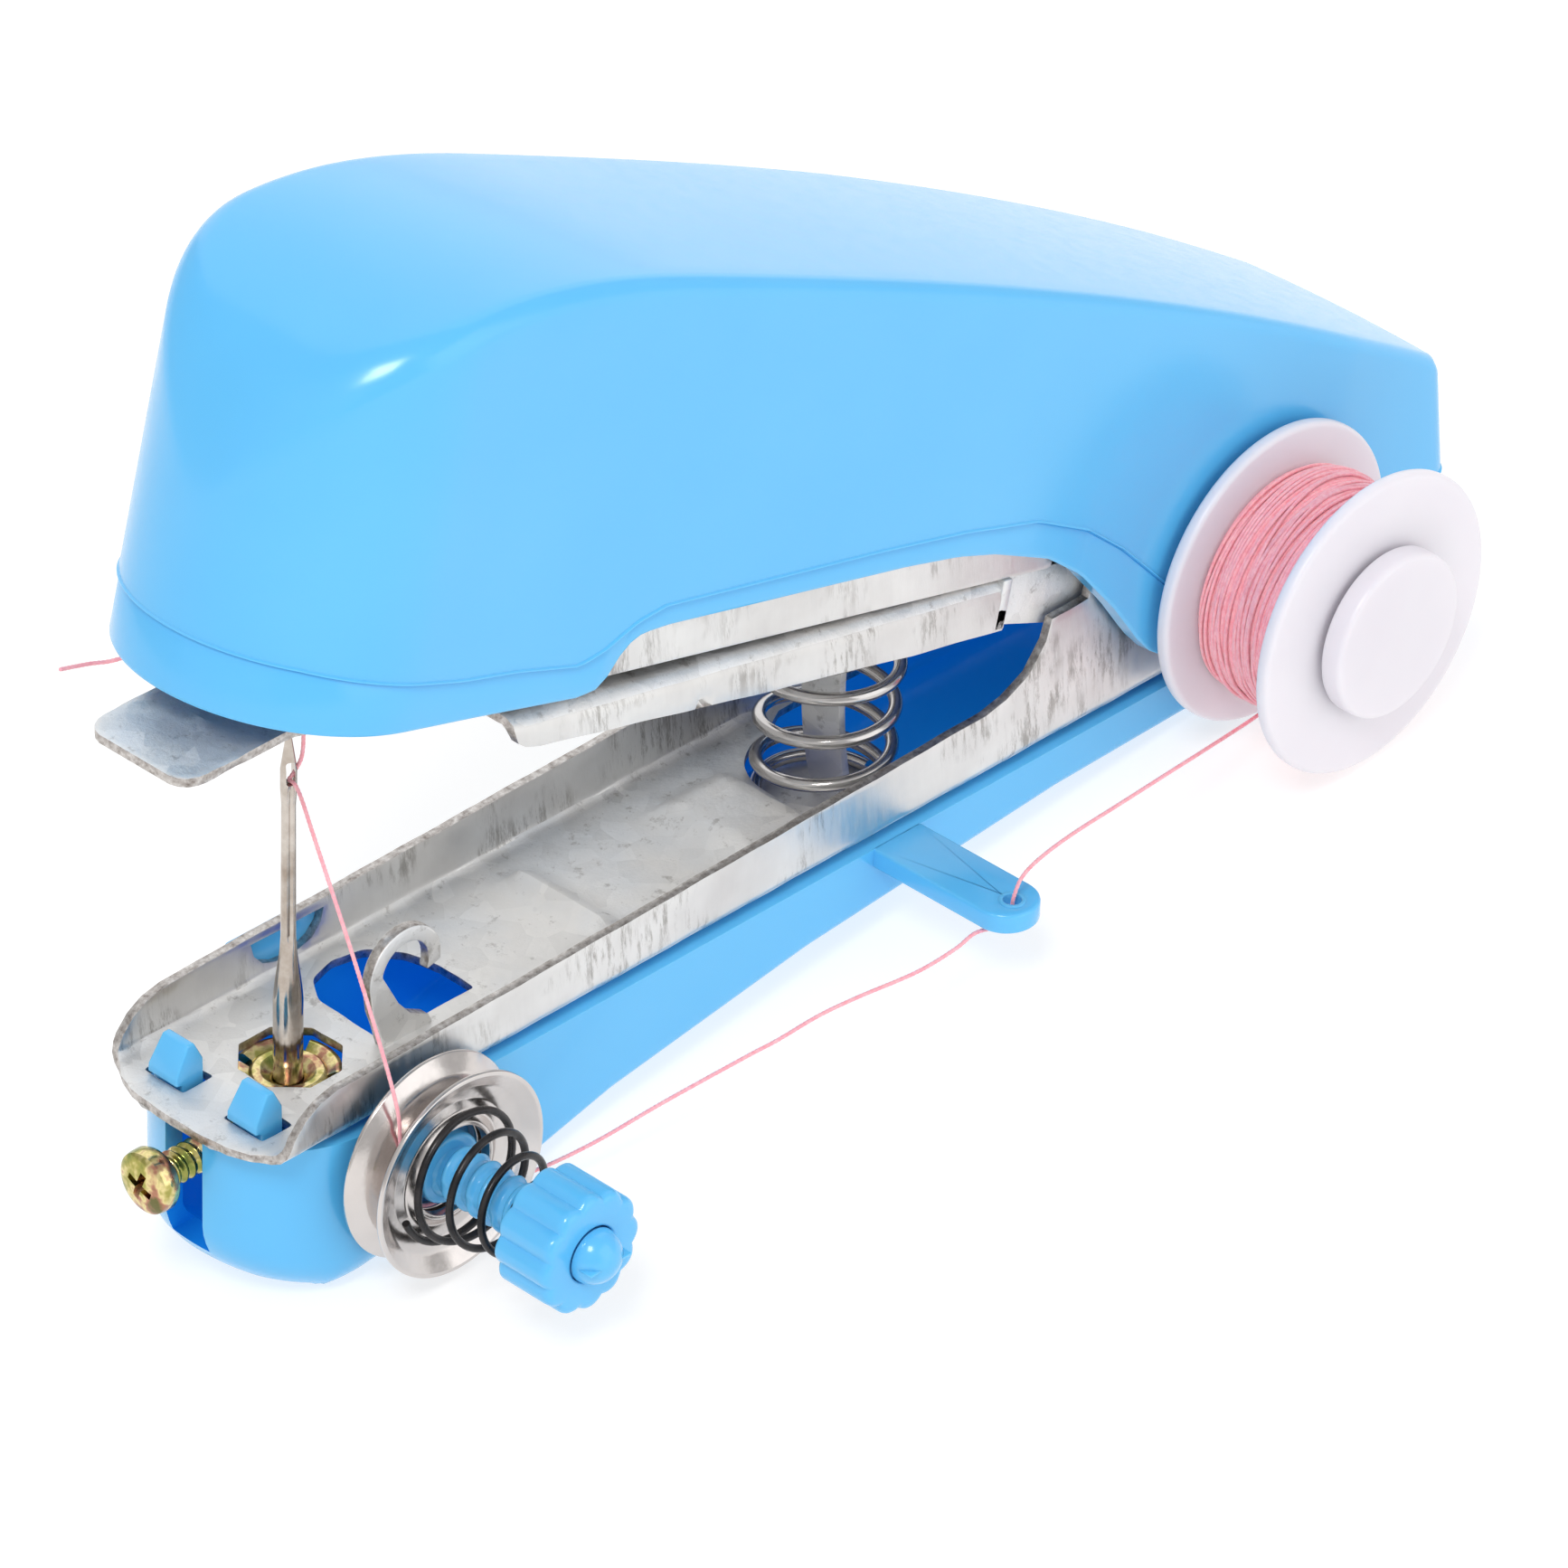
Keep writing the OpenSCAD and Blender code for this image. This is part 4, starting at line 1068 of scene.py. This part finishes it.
def add_presser():
    """The presser arm: a folded channel with a flat toe in front, and a narrower tail at the hinge."""
    fold = Fold(CHANNEL_HALF, 1.1, True)
    mid = PRESSER_TOP - GAUGE / 2
    flange = [(-73.6, 1.6), (-73.2, 1.0), (-72.4, 0.6), (-71, 0.35), (-50, -0.5), (-34, -1), (-24.6, -1)]
    tongue = [(-100.3, 0.001), (-100.3, 3.3), (-100.1, 3.9), (-99.7, 4.4), (-99.1, 4.7), (-98.5, 4.8), (-90, 4.8),
              (-89, 5.0), (-87, 5.7), (-84.4, 6.0), (-82, 5.6), (-80.2, 4.9), (-78.8, 4.6), (-75.2, 4.6),
              (-74.5, 5.0), (-74.2, 5.7)]
    side = tongue + [(-74.2, fold.start)] + [(p, fold.s(mid - q)) for p, q in flange] + [(-24.5, 7.0)]
    slot = rounded(rect(-87.6, -82.4, -1.5, 1.5), 1.2)
    notch = rounded(rect(-81.6, -71.6, -4.2, -1.8), 0.6)
    strip = rounded(rect(-35.4, -31.8, -3.2, 3.0), 0.5)

    def relief(p, y, s):
        if p > -77:
            return 0.03 * math.sin(p * 0.8) * math.cos(y * 0.7)
        ramp = float(np.interp(p, [-100.4, -91.2, -83, -77.5], [-0.55, 1.45, 1.25, 0.0]))
        mark = math.hypot(p + 103.5, y * 1.05) - 8.6
        ridge_mark = 0.40 * math.exp(-(mark / 0.36) ** 2) if abs(y) < 4.4 else 0
        return ramp + ridge_mark

    mesh = folded(mirrored_outline(side), [slot, notch, strip], fold, 3.8, mid, relief)
    outline = [(-25.4, -1), (-12, -3.4), *arc((0, 0), 4.2, 250, 425, 24), (-1, 3.9), (-5.6, PRESSER_TOP),
               (-25.4, PRESSER_TOP)]
    tail = both_sides(outline, 6.6, 7.5, [pin_hole()])
    tail += both_sides(rect(-25.4, -24.5, -1, PRESSER_TOP), 6.6, 8.6)
    tail.append(slab(rect(-25.4, -5.6, -7.5, 7.5), PRESSER_TOP - GAUGE, PRESSER_TOP))
    tail = bevelled(joined(*tail), 0.12)
    piece("presser_sheet", joined(mesh, tail), PRESSER, "presser", FOLDED_SHEET, "presser_plate", angle=38)


def add_upper_frame():
    """The frame inside the head, with the plates that carry the looper's shaft."""
    fold = Fold(8.4, 1.1, True)
    mid = 15 - GAUGE / 2
    front, step = -79.5, -20.4
    side = [(front, 0.001), (front, fold.start), (front, fold.s(mid - 3.2)), (front + 0.4, fold.s(mid - 2.2)),
            (step, fold.s(mid - 2.2)), (step, fold.start)]
    gap = rounded(rect(-33, -26.5, -3.4, 3.4), 0.5)
    mesh = folded(mirrored_outline(side), [gap], fold, 13.5, mid)
    outline = [(step - GAUGE, 3.2), (-4.6, 3.2), *arc((0, 0), 4.5, 180, 420, 30), (-8, 11),
               (step - GAUGE, 15)]
    rest = both_sides(outline, 5.5, 6.4, [pin_hole()])
    rest += both_sides(rect(step - GAUGE, step, 3.2, 15), 5.5, 8.4)
    for u in (front, -37):  # the two plates that carry the looper's shaft
        bore = moved(turned_solid(rect(0, 1.05, -2, 3), 32), at(u, SHAFT_Y, SHAFT_W) @ BACKWARDS)
        rest.append(cut(upright(rect(u, u + GAUGE, 4, 15), -7.5, 7.5), bore))
    rest.append(slab(rect(step - GAUGE, -9, -6.4, 6.4), 9.6, 10.5))
    rest = bevelled(joined(*rest), 0.12)
    piece("upper_frame_sheet", joined(mesh, rest), HEAD, "head", FOLDED_SHEET, "upper_frame", angle=38)


# ---------------------------------------------------------------- needle and its clamp

# Heights above the web, and how far the needle is turned in its clamp
EYE_Z = 23.0
TIP_Z = 27.0
NEEDLE_TURN = -26


def add_needle():
    """Shank, taper and blade, turned in its clamp so that the eye faces the near front corner."""
    heights = sorted({-11.4, -11.2, 4.9, 5.6, 6.6, 7.8, 8.8, 9.6, *np.arange(10, TIP_Z, 0.22), TIP_Z})
    shape = [(-11.4, 0.9), (-11.2, 1.025), (5.0, 1.025), (6.0, 0.94), (8.6, 0.6), (10, 0.52), (20.4, 0.49),
             (21.6, 0.57), (23.2, 0.57), (24.4, 0.40), (26.2, 0.13), (27, 0.03)]

    def radius(z, a, _):
        """The taper, less the long groove on the near side and the scarf behind the eye."""
        r = along(shape, z)
        near = math.exp(-((math.degrees(a) - 270) / 20) ** 2)
        groove = 0.20 * near * bump_of(abs(z - 15.8) - 6.2, 1.2)
        scarf = 0.22 * math.exp(-((math.degrees(a) - 90) / 34) ** 2) * math.exp(-((z - EYE_Z) / 1.7) ** 2)
        return r - (groove + scarf) * min(1, r / 0.45)

    eye = upright(rounded(rect(-0.31, 0.31, EYE_Z - 0.9, EYE_Z + 0.9), 0.28), -1, 1)
    mesh = cut(turned_skin(heights, 40, radius, (True, True)), eye)
    place = ARM @ Matrix.Rotation(math.radians(NEEDLE_TURN), 4, "Z")
    piece("needle_body", mesh, place, "base", NEEDLE_STEEL, "needle", angle=35)


SCREW_Z = -3.7
NEEDLE_BORE_R = 1.045


def add_clamp():
    """The zinc-plated collet, with a dished mouth that four cuts let close on the needle."""
    profile = [(NEEDLE_BORE_R, -11.2), (3.3, -11.2), (3.3, -1.5), (2.4, -0.8), (1.9, -0.85), (NEEDLE_BORE_R, -1.5)]
    barrel = turned_solid(rounded(profile, [0, 0.2, 0.3, 0.3, 0.3, 0.2]), 64)
    lip = [(1.9, -2.0), (2.3, -2.0), (3.66, -1.2), (3.66, -0.72), (3.3, -0.62), (2.2, -1.25), (1.75, -1.7)]
    cup = turned_solid(rounded(lip, [0.1, 0.1, 0.15, 0.15, 0.3, 0.4, 0.1]), 72)
    for quarter in range(4):
        wedge = slab([(2.1, -0.28), (4.2, -0.55), (4.2, 0.55), (2.1, 0.28)], -2.4, 0)
        cup = cut(cup, moved(wedge, Matrix.Rotation(math.radians(28 + 90 * quarter), 4, "Z")))
    bore = turned_solid(rect(0, 1.3, -6, -0.6), 32)
    barrel = cut(barrel, moved(bore, at(0, 0, SCREW_Z) @ BACKWARDS))
    piece("needle_collet", joined(barrel, cup), ARM, "base", ZINC, "needle_clamp", angle=35)


SCREW_PITCH, SCREW_END, SCREW_SIDES = 0.7, 12.5, 36


def add_clamp_screw():
    """Pan-headed cross-recess screw with a rolled thread."""
    crown = [(2.3 * math.sin(t), 0.62 * (1 - math.cos(t))) for t in np.radians(np.linspace(8, 76, 10))]
    head = turned_solid([(0, 0), *crown, (2.3, 0.85), (2.3, 1.45), (2.1, 1.8), (0, 1.8)], 64)
    for angle in (20, 110):
        wedge = slab(rect(-1.45, 1.45, -0.27, 0.27), -0.5, 1.15)
        for v in wedge.vertices:
            if v.co.z > 0:
                v.co.x *= 0.35
        head = cut(head, moved(wedge, Matrix.Rotation(math.radians(angle), 4, "Z")))

    def rolled_thread(h, _, k):
        flank = abs(2 * ((h / SCREW_PITCH - k / SCREW_SIDES) % 1) - 1)
        fade = min(1, max(0, (SCREW_END - h) / 0.8))
        return 0.98 + 0.27 * min(1, max(0, 1.35 * flank - 0.15)) * (0.4 + 0.6 * fade)

    shank = turned_skin(spaced(1.7, SCREW_END, 210), SCREW_SIDES, rolled_thread, (False, True))
    place = ARM @ at(-13.6, 0, SCREW_Z) @ BACKWARDS
    piece("clamp_screw_body", joined(head, shank), place, "clamp_screw", ZINC, "clamp_screw", angle=35)


# ---------------------------------------------------------------- tension unit

# The plane where the thread is pinched, the knob's near face, and the spring's two ends
PINCH_Y = 11.375
KNOB_Y = 20.6
KNOB_LEN = 4.8
KNOB_R = 4.6
SPRING_IN = -12.74
SPRING_OUT = -20.2


LOBES = 12


def disc_mesh():
    """A dished disc, flat where it meets the thread and turned up at its rim and its hole."""
    profile = [(3.3, 0), (5.2, 0), (6.4, 0.45), (7.6, 1.3), (7.6, 1.6), (7.3, 1.6), (6.2, 0.8), (5.1, 0.4),
               (4.2, 0.4), (3.6, 0.9), (3.3, 0.9)]
    return turned_solid(rounded(profile, [0.15, 0.6, 1.2, 0.12, 0.12, 0.15, 1.2, 0.5, 0.5, 0.12, 0.12]), 128)


def add_tension():
    gap = THREAD_D / 2 + 0.02
    inner = ARM @ at(DISC_X, gap - PINCH_Y, DISC_Z) @ OUTWARDS
    outer = ARM @ at(DISC_X, -PINCH_Y - gap, DISC_Z) @ OUTWARDS
    facing = moved(disc_mesh(), Matrix.Scale(-1, 4, (0, 0, 1)))
    piece("disc_inner", facing, inner, "base", DISC_STEEL, "tension_disc_inner", angle=50)
    piece("disc_outer", disc_mesh(), outer, "outer_disc", DISC_STEEL, "tension_disc_outer", angle=50)
    add_tension_spring()
    add_knob()


def add_tension_spring():
    """A conical spring, wide at the disc, with its two ends wound close."""
    turns, wire, steps = 4, 0.56, 60
    points = []
    for i in range(turns * steps + 1):
        s = i / (turns * steps)
        a = 2 * math.pi * turns * s + math.radians(200)
        r = 5.1 - 2.4 * s
        ease = along([(0, 0), (0.18, 0.045), (0.9, 0.96), (1, 1)], s)
        y = SPRING_IN + (SPRING_OUT - SPRING_IN) * ease
        points.append(Vector((DISC_X + r * math.cos(a), y, DISC_Z + r * math.sin(a))))
    coil = tube(points, wire / 2, 14)
    spring = piece("tension_spring_wire", coil, ARM, "spring_seat", WIRE, "tension_spring")
    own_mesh(spring)


def add_knob():
    profile = rounded([(2.05, 0), (KNOB_R, 0), (KNOB_R, KNOB_LEN), (2.05, KNOB_LEN)], [0, 0.35, 0.7, 0.25], 5)
    bore = {i for i, (r, _) in enumerate(profile) if r < 2.4}

    def lobe(a, i):
        return 1 if i in bore else 1 - 0.085 * (1 - abs(math.cos(LOBES / 2 * a))) - 0.02

    place = ARM @ at(DISC_X, -KNOB_Y, DISC_Z) @ OUTWARDS
    knob = turned_solid(profile, 240, lobe)
    piece("tension_knob_body", knob, place, "knob", BLUE, "tension_knob", angle=50)


# ---------------------------------------------------------------- drive, spring and hinge

# The looper's shaft, and where its pinion meets the strip's teeth
MESH_U, SHAFT_Y, SHAFT_W = 32.5, 4.1, 9.0
MODULE = 0.5
STRIP_R = math.hypot(MESH_U, SHAFT_W)
TOOTH_STEP = math.degrees(math.pi * MODULE / MESH_U)
SPRING_X = 51.3
SPRING_FOOT = -2.8
RACK_Y = 1.6

# An outline's X and Y turned to lie across the machine
CROSSWAYS = Matrix(((0, 0, 1, 0), (1, 0, 0, 0), (0, 1, 0, 0), (0, 0, 0, 1)))


def add_drive_strip():
    """The strip bent round the hinge, with its foot on the base and its teeth at the pinion."""
    base_angle = math.degrees(math.atan2(SHAFT_W, MESH_U))
    angles = np.radians(np.linspace(base_angle - 47.0, base_angle + 5.4, 70))
    section = rounded(rect(-2.6, 1.05, -GAUGE / 2, GAUGE / 2), 0.12, 2)
    verts, n = [], len(section)
    for a in angles:
        for y, d in section:
            r = STRIP_R + d
            verts.append((-r * math.cos(a), y, r * math.sin(a)))
    faces = ring_faces(len(angles), n) + [tuple(range(n)), ring_ends(len(angles), n)[1]]
    half = math.pi * MODULE / 4 - 0.06
    tip, root = half - 0.19, half + 0.28
    outline = [(RACK_Y + 0.4, tip), (1.0, root), (1.0, -root), (RACK_Y + 0.4, -tip)]
    teeth = []
    for k in range(-6, 2):
        place = Matrix.Rotation(math.radians(k * TOOTH_STEP), 4, "Y") @ at(-MESH_U, 0, SHAFT_W) @ CROSSWAYS
        teeth.append(moved(slab(outline, -GAUGE / 2, GAUGE / 2), place))
    foot = slab(rounded(rect(SPRING_X - 5.2, SPRING_X + 5.2, -5.2, 5.2), 0.6), -3.7, SPRING_FOOT)
    foot = moved(bevelled(foot, 0.12), HEAD.inverted() @ ARM)
    strip = joined(new_mesh(verts, faces), foot, *teeth)
    piece("drive_strip_sheet", strip, HEAD, "base", SHEET, "drive_strip")


def add_main_spring():
    """The coil fans out, so that its top lies against the open presser plate."""
    turns, wire, r, steps = 6.5, 1.0, 4.7, 72
    slope = math.radians(PRESSER_OPEN)
    top = HINGE_UP + (2 - 0.02 + (ARM_LEN - SPRING_X) * math.sin(slope)) / math.cos(slope)
    fan_r = (top - SPRING_FOOT - wire) / math.tan(slope)
    points = []
    for i in range(int(turns * steps) + 1):
        s = i / int(turns * steps)
        fan = slope * along([(0, 0), (0.12, 0.042), (0.88, 0.958), (1, 1)], s)
        a = 2 * math.pi * turns * s
        reach = fan_r - r * math.cos(a)
        z = SPRING_FOOT + wire / 2 + reach * math.sin(fan)
        points.append(Vector((SPRING_X + fan_r - reach * math.cos(fan), r * math.sin(a), z)))
    spring = piece("main_spring_wire", tube(points, wire / 2, 16), ARM, "base", STEEL, "main_spring")
    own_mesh(spring)


def add_hinge():
    profile = [(0, -8.9), (2.8, -8.9), (2.8, -8.6), (2.0, -8.6), (2.0, 8.6), (2.8, 8.6), (2.8, 8.9), (0, 8.9)]
    pin = turned_solid(rounded(profile, [0, 0.2, 0, 0, 0, 0, 0.2, 0]), 64)
    piece("hinge_pin_body", pin, SPINDLE @ OUTWARDS, "base", STEEL, "hinge_pin")


def pinion_outline():
    """A small involute pinion, cut for an even running gap."""
    teeth, pitch_r = 10, 2.5
    base_r = pitch_r * math.cos(math.radians(25))
    roll = lambda r: math.sqrt(max(0, (r / base_r) ** 2 - 1))
    involute = lambda r: roll(r) - math.atan(roll(r))
    width = lambda r: math.pi / 2 / teeth - 0.024 + involute(pitch_r) - involute(max(r, base_r))
    radii = [1.95, base_r, 2.38, pitch_r, 2.7, 2.9]
    outline = []
    for i in range(teeth):
        a = 2 * math.pi * i / teeth + math.pi / 2 + math.pi / teeth
        outline += [(r * math.cos(a - width(r)), r * math.sin(a - width(r))) for r in radii]
        outline += [(r * math.cos(a + width(r)), r * math.sin(a + width(r))) for r in reversed(radii)]
    return outline


def add_looper():
    gear = bevelled(slab(pinion_outline(), -MESH_U - 0.7, -MESH_U + 0.7), 0.05)
    shaft = turned_solid(rounded(rect(0, 1, -82.4, -30.6), [0, 0.2, 0.2, 0]), 40)
    place = HEAD @ at(0, SHAFT_Y, SHAFT_W) @ BACKWARDS
    piece("looper_shaft_body", joined(gear, shaft), place, "looper", STEEL, "looper_shaft")
    ring = arc((0, 0), 4.2, 98, 262, 40) + arc((0, 0), 3.0, 262, 98, 40)
    hook = joined(slab(ring, 0, 1.2), slab([(-3.6, -1), (-1, -1.2), (-1, 1.2), (-3.6, 1)], 0.1, 1.1),
                  slab(arc((0, 0), 1.9, 0, 350, 36), 0, 1.2))
    hook_place = HEAD @ at(-83.6, SHAFT_Y, SHAFT_W) @ CROSSWAYS
    piece("looper_hook_body", bevelled(hook, 0.1), hook_place, "looper", STEEL, "looper_hook")
    collar = turned_solid(rounded(rect(1, 2, -78.3, -76.9), 0.15), 48)
    piece("shaft_collar_body", collar, place, "looper", STEEL, "shaft_collar")


# ---------------------------------------------------------------- bobbin

BOBBIN_IN, BOBBIN_OUT = 11.5, 21.9
FLANGE = 1.1
BOBBIN_R = 11.5


def add_bobbin():
    place = SPINDLE @ OUTWARDS
    profile = [(0, 10.66), (3.8, 10.66), (3.8, 11.4), (2.9, 11.4), (2.9, 22.3), (6.3, 22.3), (6.3, 24.1),
               (0, 24.1)]
    pin = turned_solid(rounded(profile, [0, 0, 0.15, 0.1, 0.0, 0.3, 0.45, 0]), 128)
    piece("spool_pin_body", pin, place, "head", WHITE, "spool_pin", angle=50)
    low, high = BOBBIN_IN + FLANGE, BOBBIN_OUT - FLANGE
    profile = [(2.95, BOBBIN_IN), (BOBBIN_R, BOBBIN_IN), (BOBBIN_R, low), (4.5, low), (4.5, high),
               (BOBBIN_R, high), (BOBBIN_R, BOBBIN_OUT), (2.95, BOBBIN_OUT)]
    bobbin = turned_solid(rounded(profile, [0.2, 0.45, 0.45, 0.1, 0.1, 0.45, 0.5, 0.3], 5), 160)
    piece("bobbin_body", bobbin, place, "bobbin", WHITE, "bobbin", angle=50)
    add_winding(place)


def heaped(h):
    """The winding is a little fuller in places along the bobbin."""
    return 0.20 * math.sin(h * 1.3 + 0.8)


def add_winding(place):
    """Rows of thread side by side, with a few turns laid across them."""
    low, high = BOBBIN_IN + FLANGE + 0.02, BOBBIN_OUT - FLANGE - 0.02
    pitch, columns, rows = 0.30, 420, 230
    rng = np.random.default_rng(4)
    wander = [rng.normal(0, 1, 4) for _ in range(3)]

    def beads(h, a, k):
        drift = (0.10 * math.sin(a + wander[0][0]) + 0.06 * math.sin(2 * a + wander[1][1] + h)
                 + 0.05 * math.sin(3 * a + h * 2.1))
        phase = ((h + drift) / pitch + k / columns) % 1
        bead = math.sqrt(max(0, 1 - (2 * phase - 1) ** 2))
        twist = 0.5 + 0.5 * math.cos(a * 96 + 2 * math.pi * phase)
        build = heaped(h) + 0.08 * math.sin(h * 3.1 + a * 0.5 + wander[2][0])
        edge = min(h - low, high - h)
        return 8.42 + build + 0.16 * bead + 0.035 * twist * bead - 0.25 * math.exp(-edge / 0.25)

    skin = turned_skin(spaced(low, high, rows), columns, beads, merge=1e-6)
    strands = []
    for _ in range(26):
        start, span = rng.uniform(0, 360), rng.uniform(120, 330)
        h0 = rng.uniform(low + 0.3, high - 0.3)
        h1 = min(high - 0.2, max(low + 0.2, h0 + rng.uniform(-2.2, 2.2)))
        points = []
        for s in np.linspace(0, 1, int(span / 1.5)):
            a = math.radians(start + span * s)
            h = h0 + (h1 - h0) * (s * s * (3 - 2 * s))
            r = 8.70 + heaped(h) - 0.26 * (1 - min(1, 8 * min(s, 1 - s)))
            points.append(Vector((r * math.cos(a), r * math.sin(a), h)))
        line, _ = even_line(points, 0.12)
        turn = 2 * math.pi * 0.12 / TWIST_PITCH
        strands.append(tube(line, 0.14, 8, lambda a, _, i: 0.82 + 0.18 * abs(math.cos(a - turn * i))))
    core = turned_solid(rect(4.52, 8.2, low, high), 96)
    mesh = joined(skin, core, *strands)
    piece("thread_winding_body", mesh, place, "bobbin", THREAD, "thread_winding", angle=70)


# ---------------------------------------------------------------- floor and lights

LIGHTS_AIM = Vector((0.04, 0, 0.03))
# Name, place in metres, size and power
LIGHTS = [("key", (-0.35, -0.25, 0.75), 0.26, 3.0), ("fill", (0.35, -0.95, 0.40), 1.0, 3.0),
          ("front", (-1.0, -0.1, 0.45), 1.3, 1.0), ("back", (0.75, 0.70, 0.75), 1.7, 5.5)]
FLOOR_HALF = 3000


def add_stage():
    """A pale floor, an even white surrounding and four soft lights."""
    corners = [(x, y, 0) for x, y in rect(-FLOOR_HALF, FLOOR_HALF, -FLOOR_HALF, FLOOR_HALF)]
    floor = new_mesh(corners, [(0, 1, 2, 3)])
    floor.transform(Matrix.Scale(MM, 4))
    floor.materials.append(paper())
    placed("floor", floor)
    world = bpy.data.worlds.new("studio")
    world.use_nodes = True
    background = world.node_tree.nodes["Background"]
    background.inputs["Color"].default_value = (1.0, 1.0, 1.0, 1)
    background.inputs["Strength"].default_value = 0.62
    bpy.context.scene.world = world
    bpy.context.scene.view_settings.view_transform = "Standard"
    for name, place, size, power in LIGHTS:
        data = bpy.data.lights.new(name, "AREA")
        data.energy = power
        data.size = size
        light = placed(name, data)
        light.location = place
        light.rotation_euler = (LIGHTS_AIM - Vector(place)).to_track_quat("-Z", "Y").to_euler()


add_cover()
add_base()
add_lower_channel()
add_presser()
add_upper_frame()
add_needle()
add_clamp()
add_clamp_screw()
add_tension()
add_drive_strip()
add_main_spring()
add_hinge()
add_looper()
add_bobbin()
add_stage()
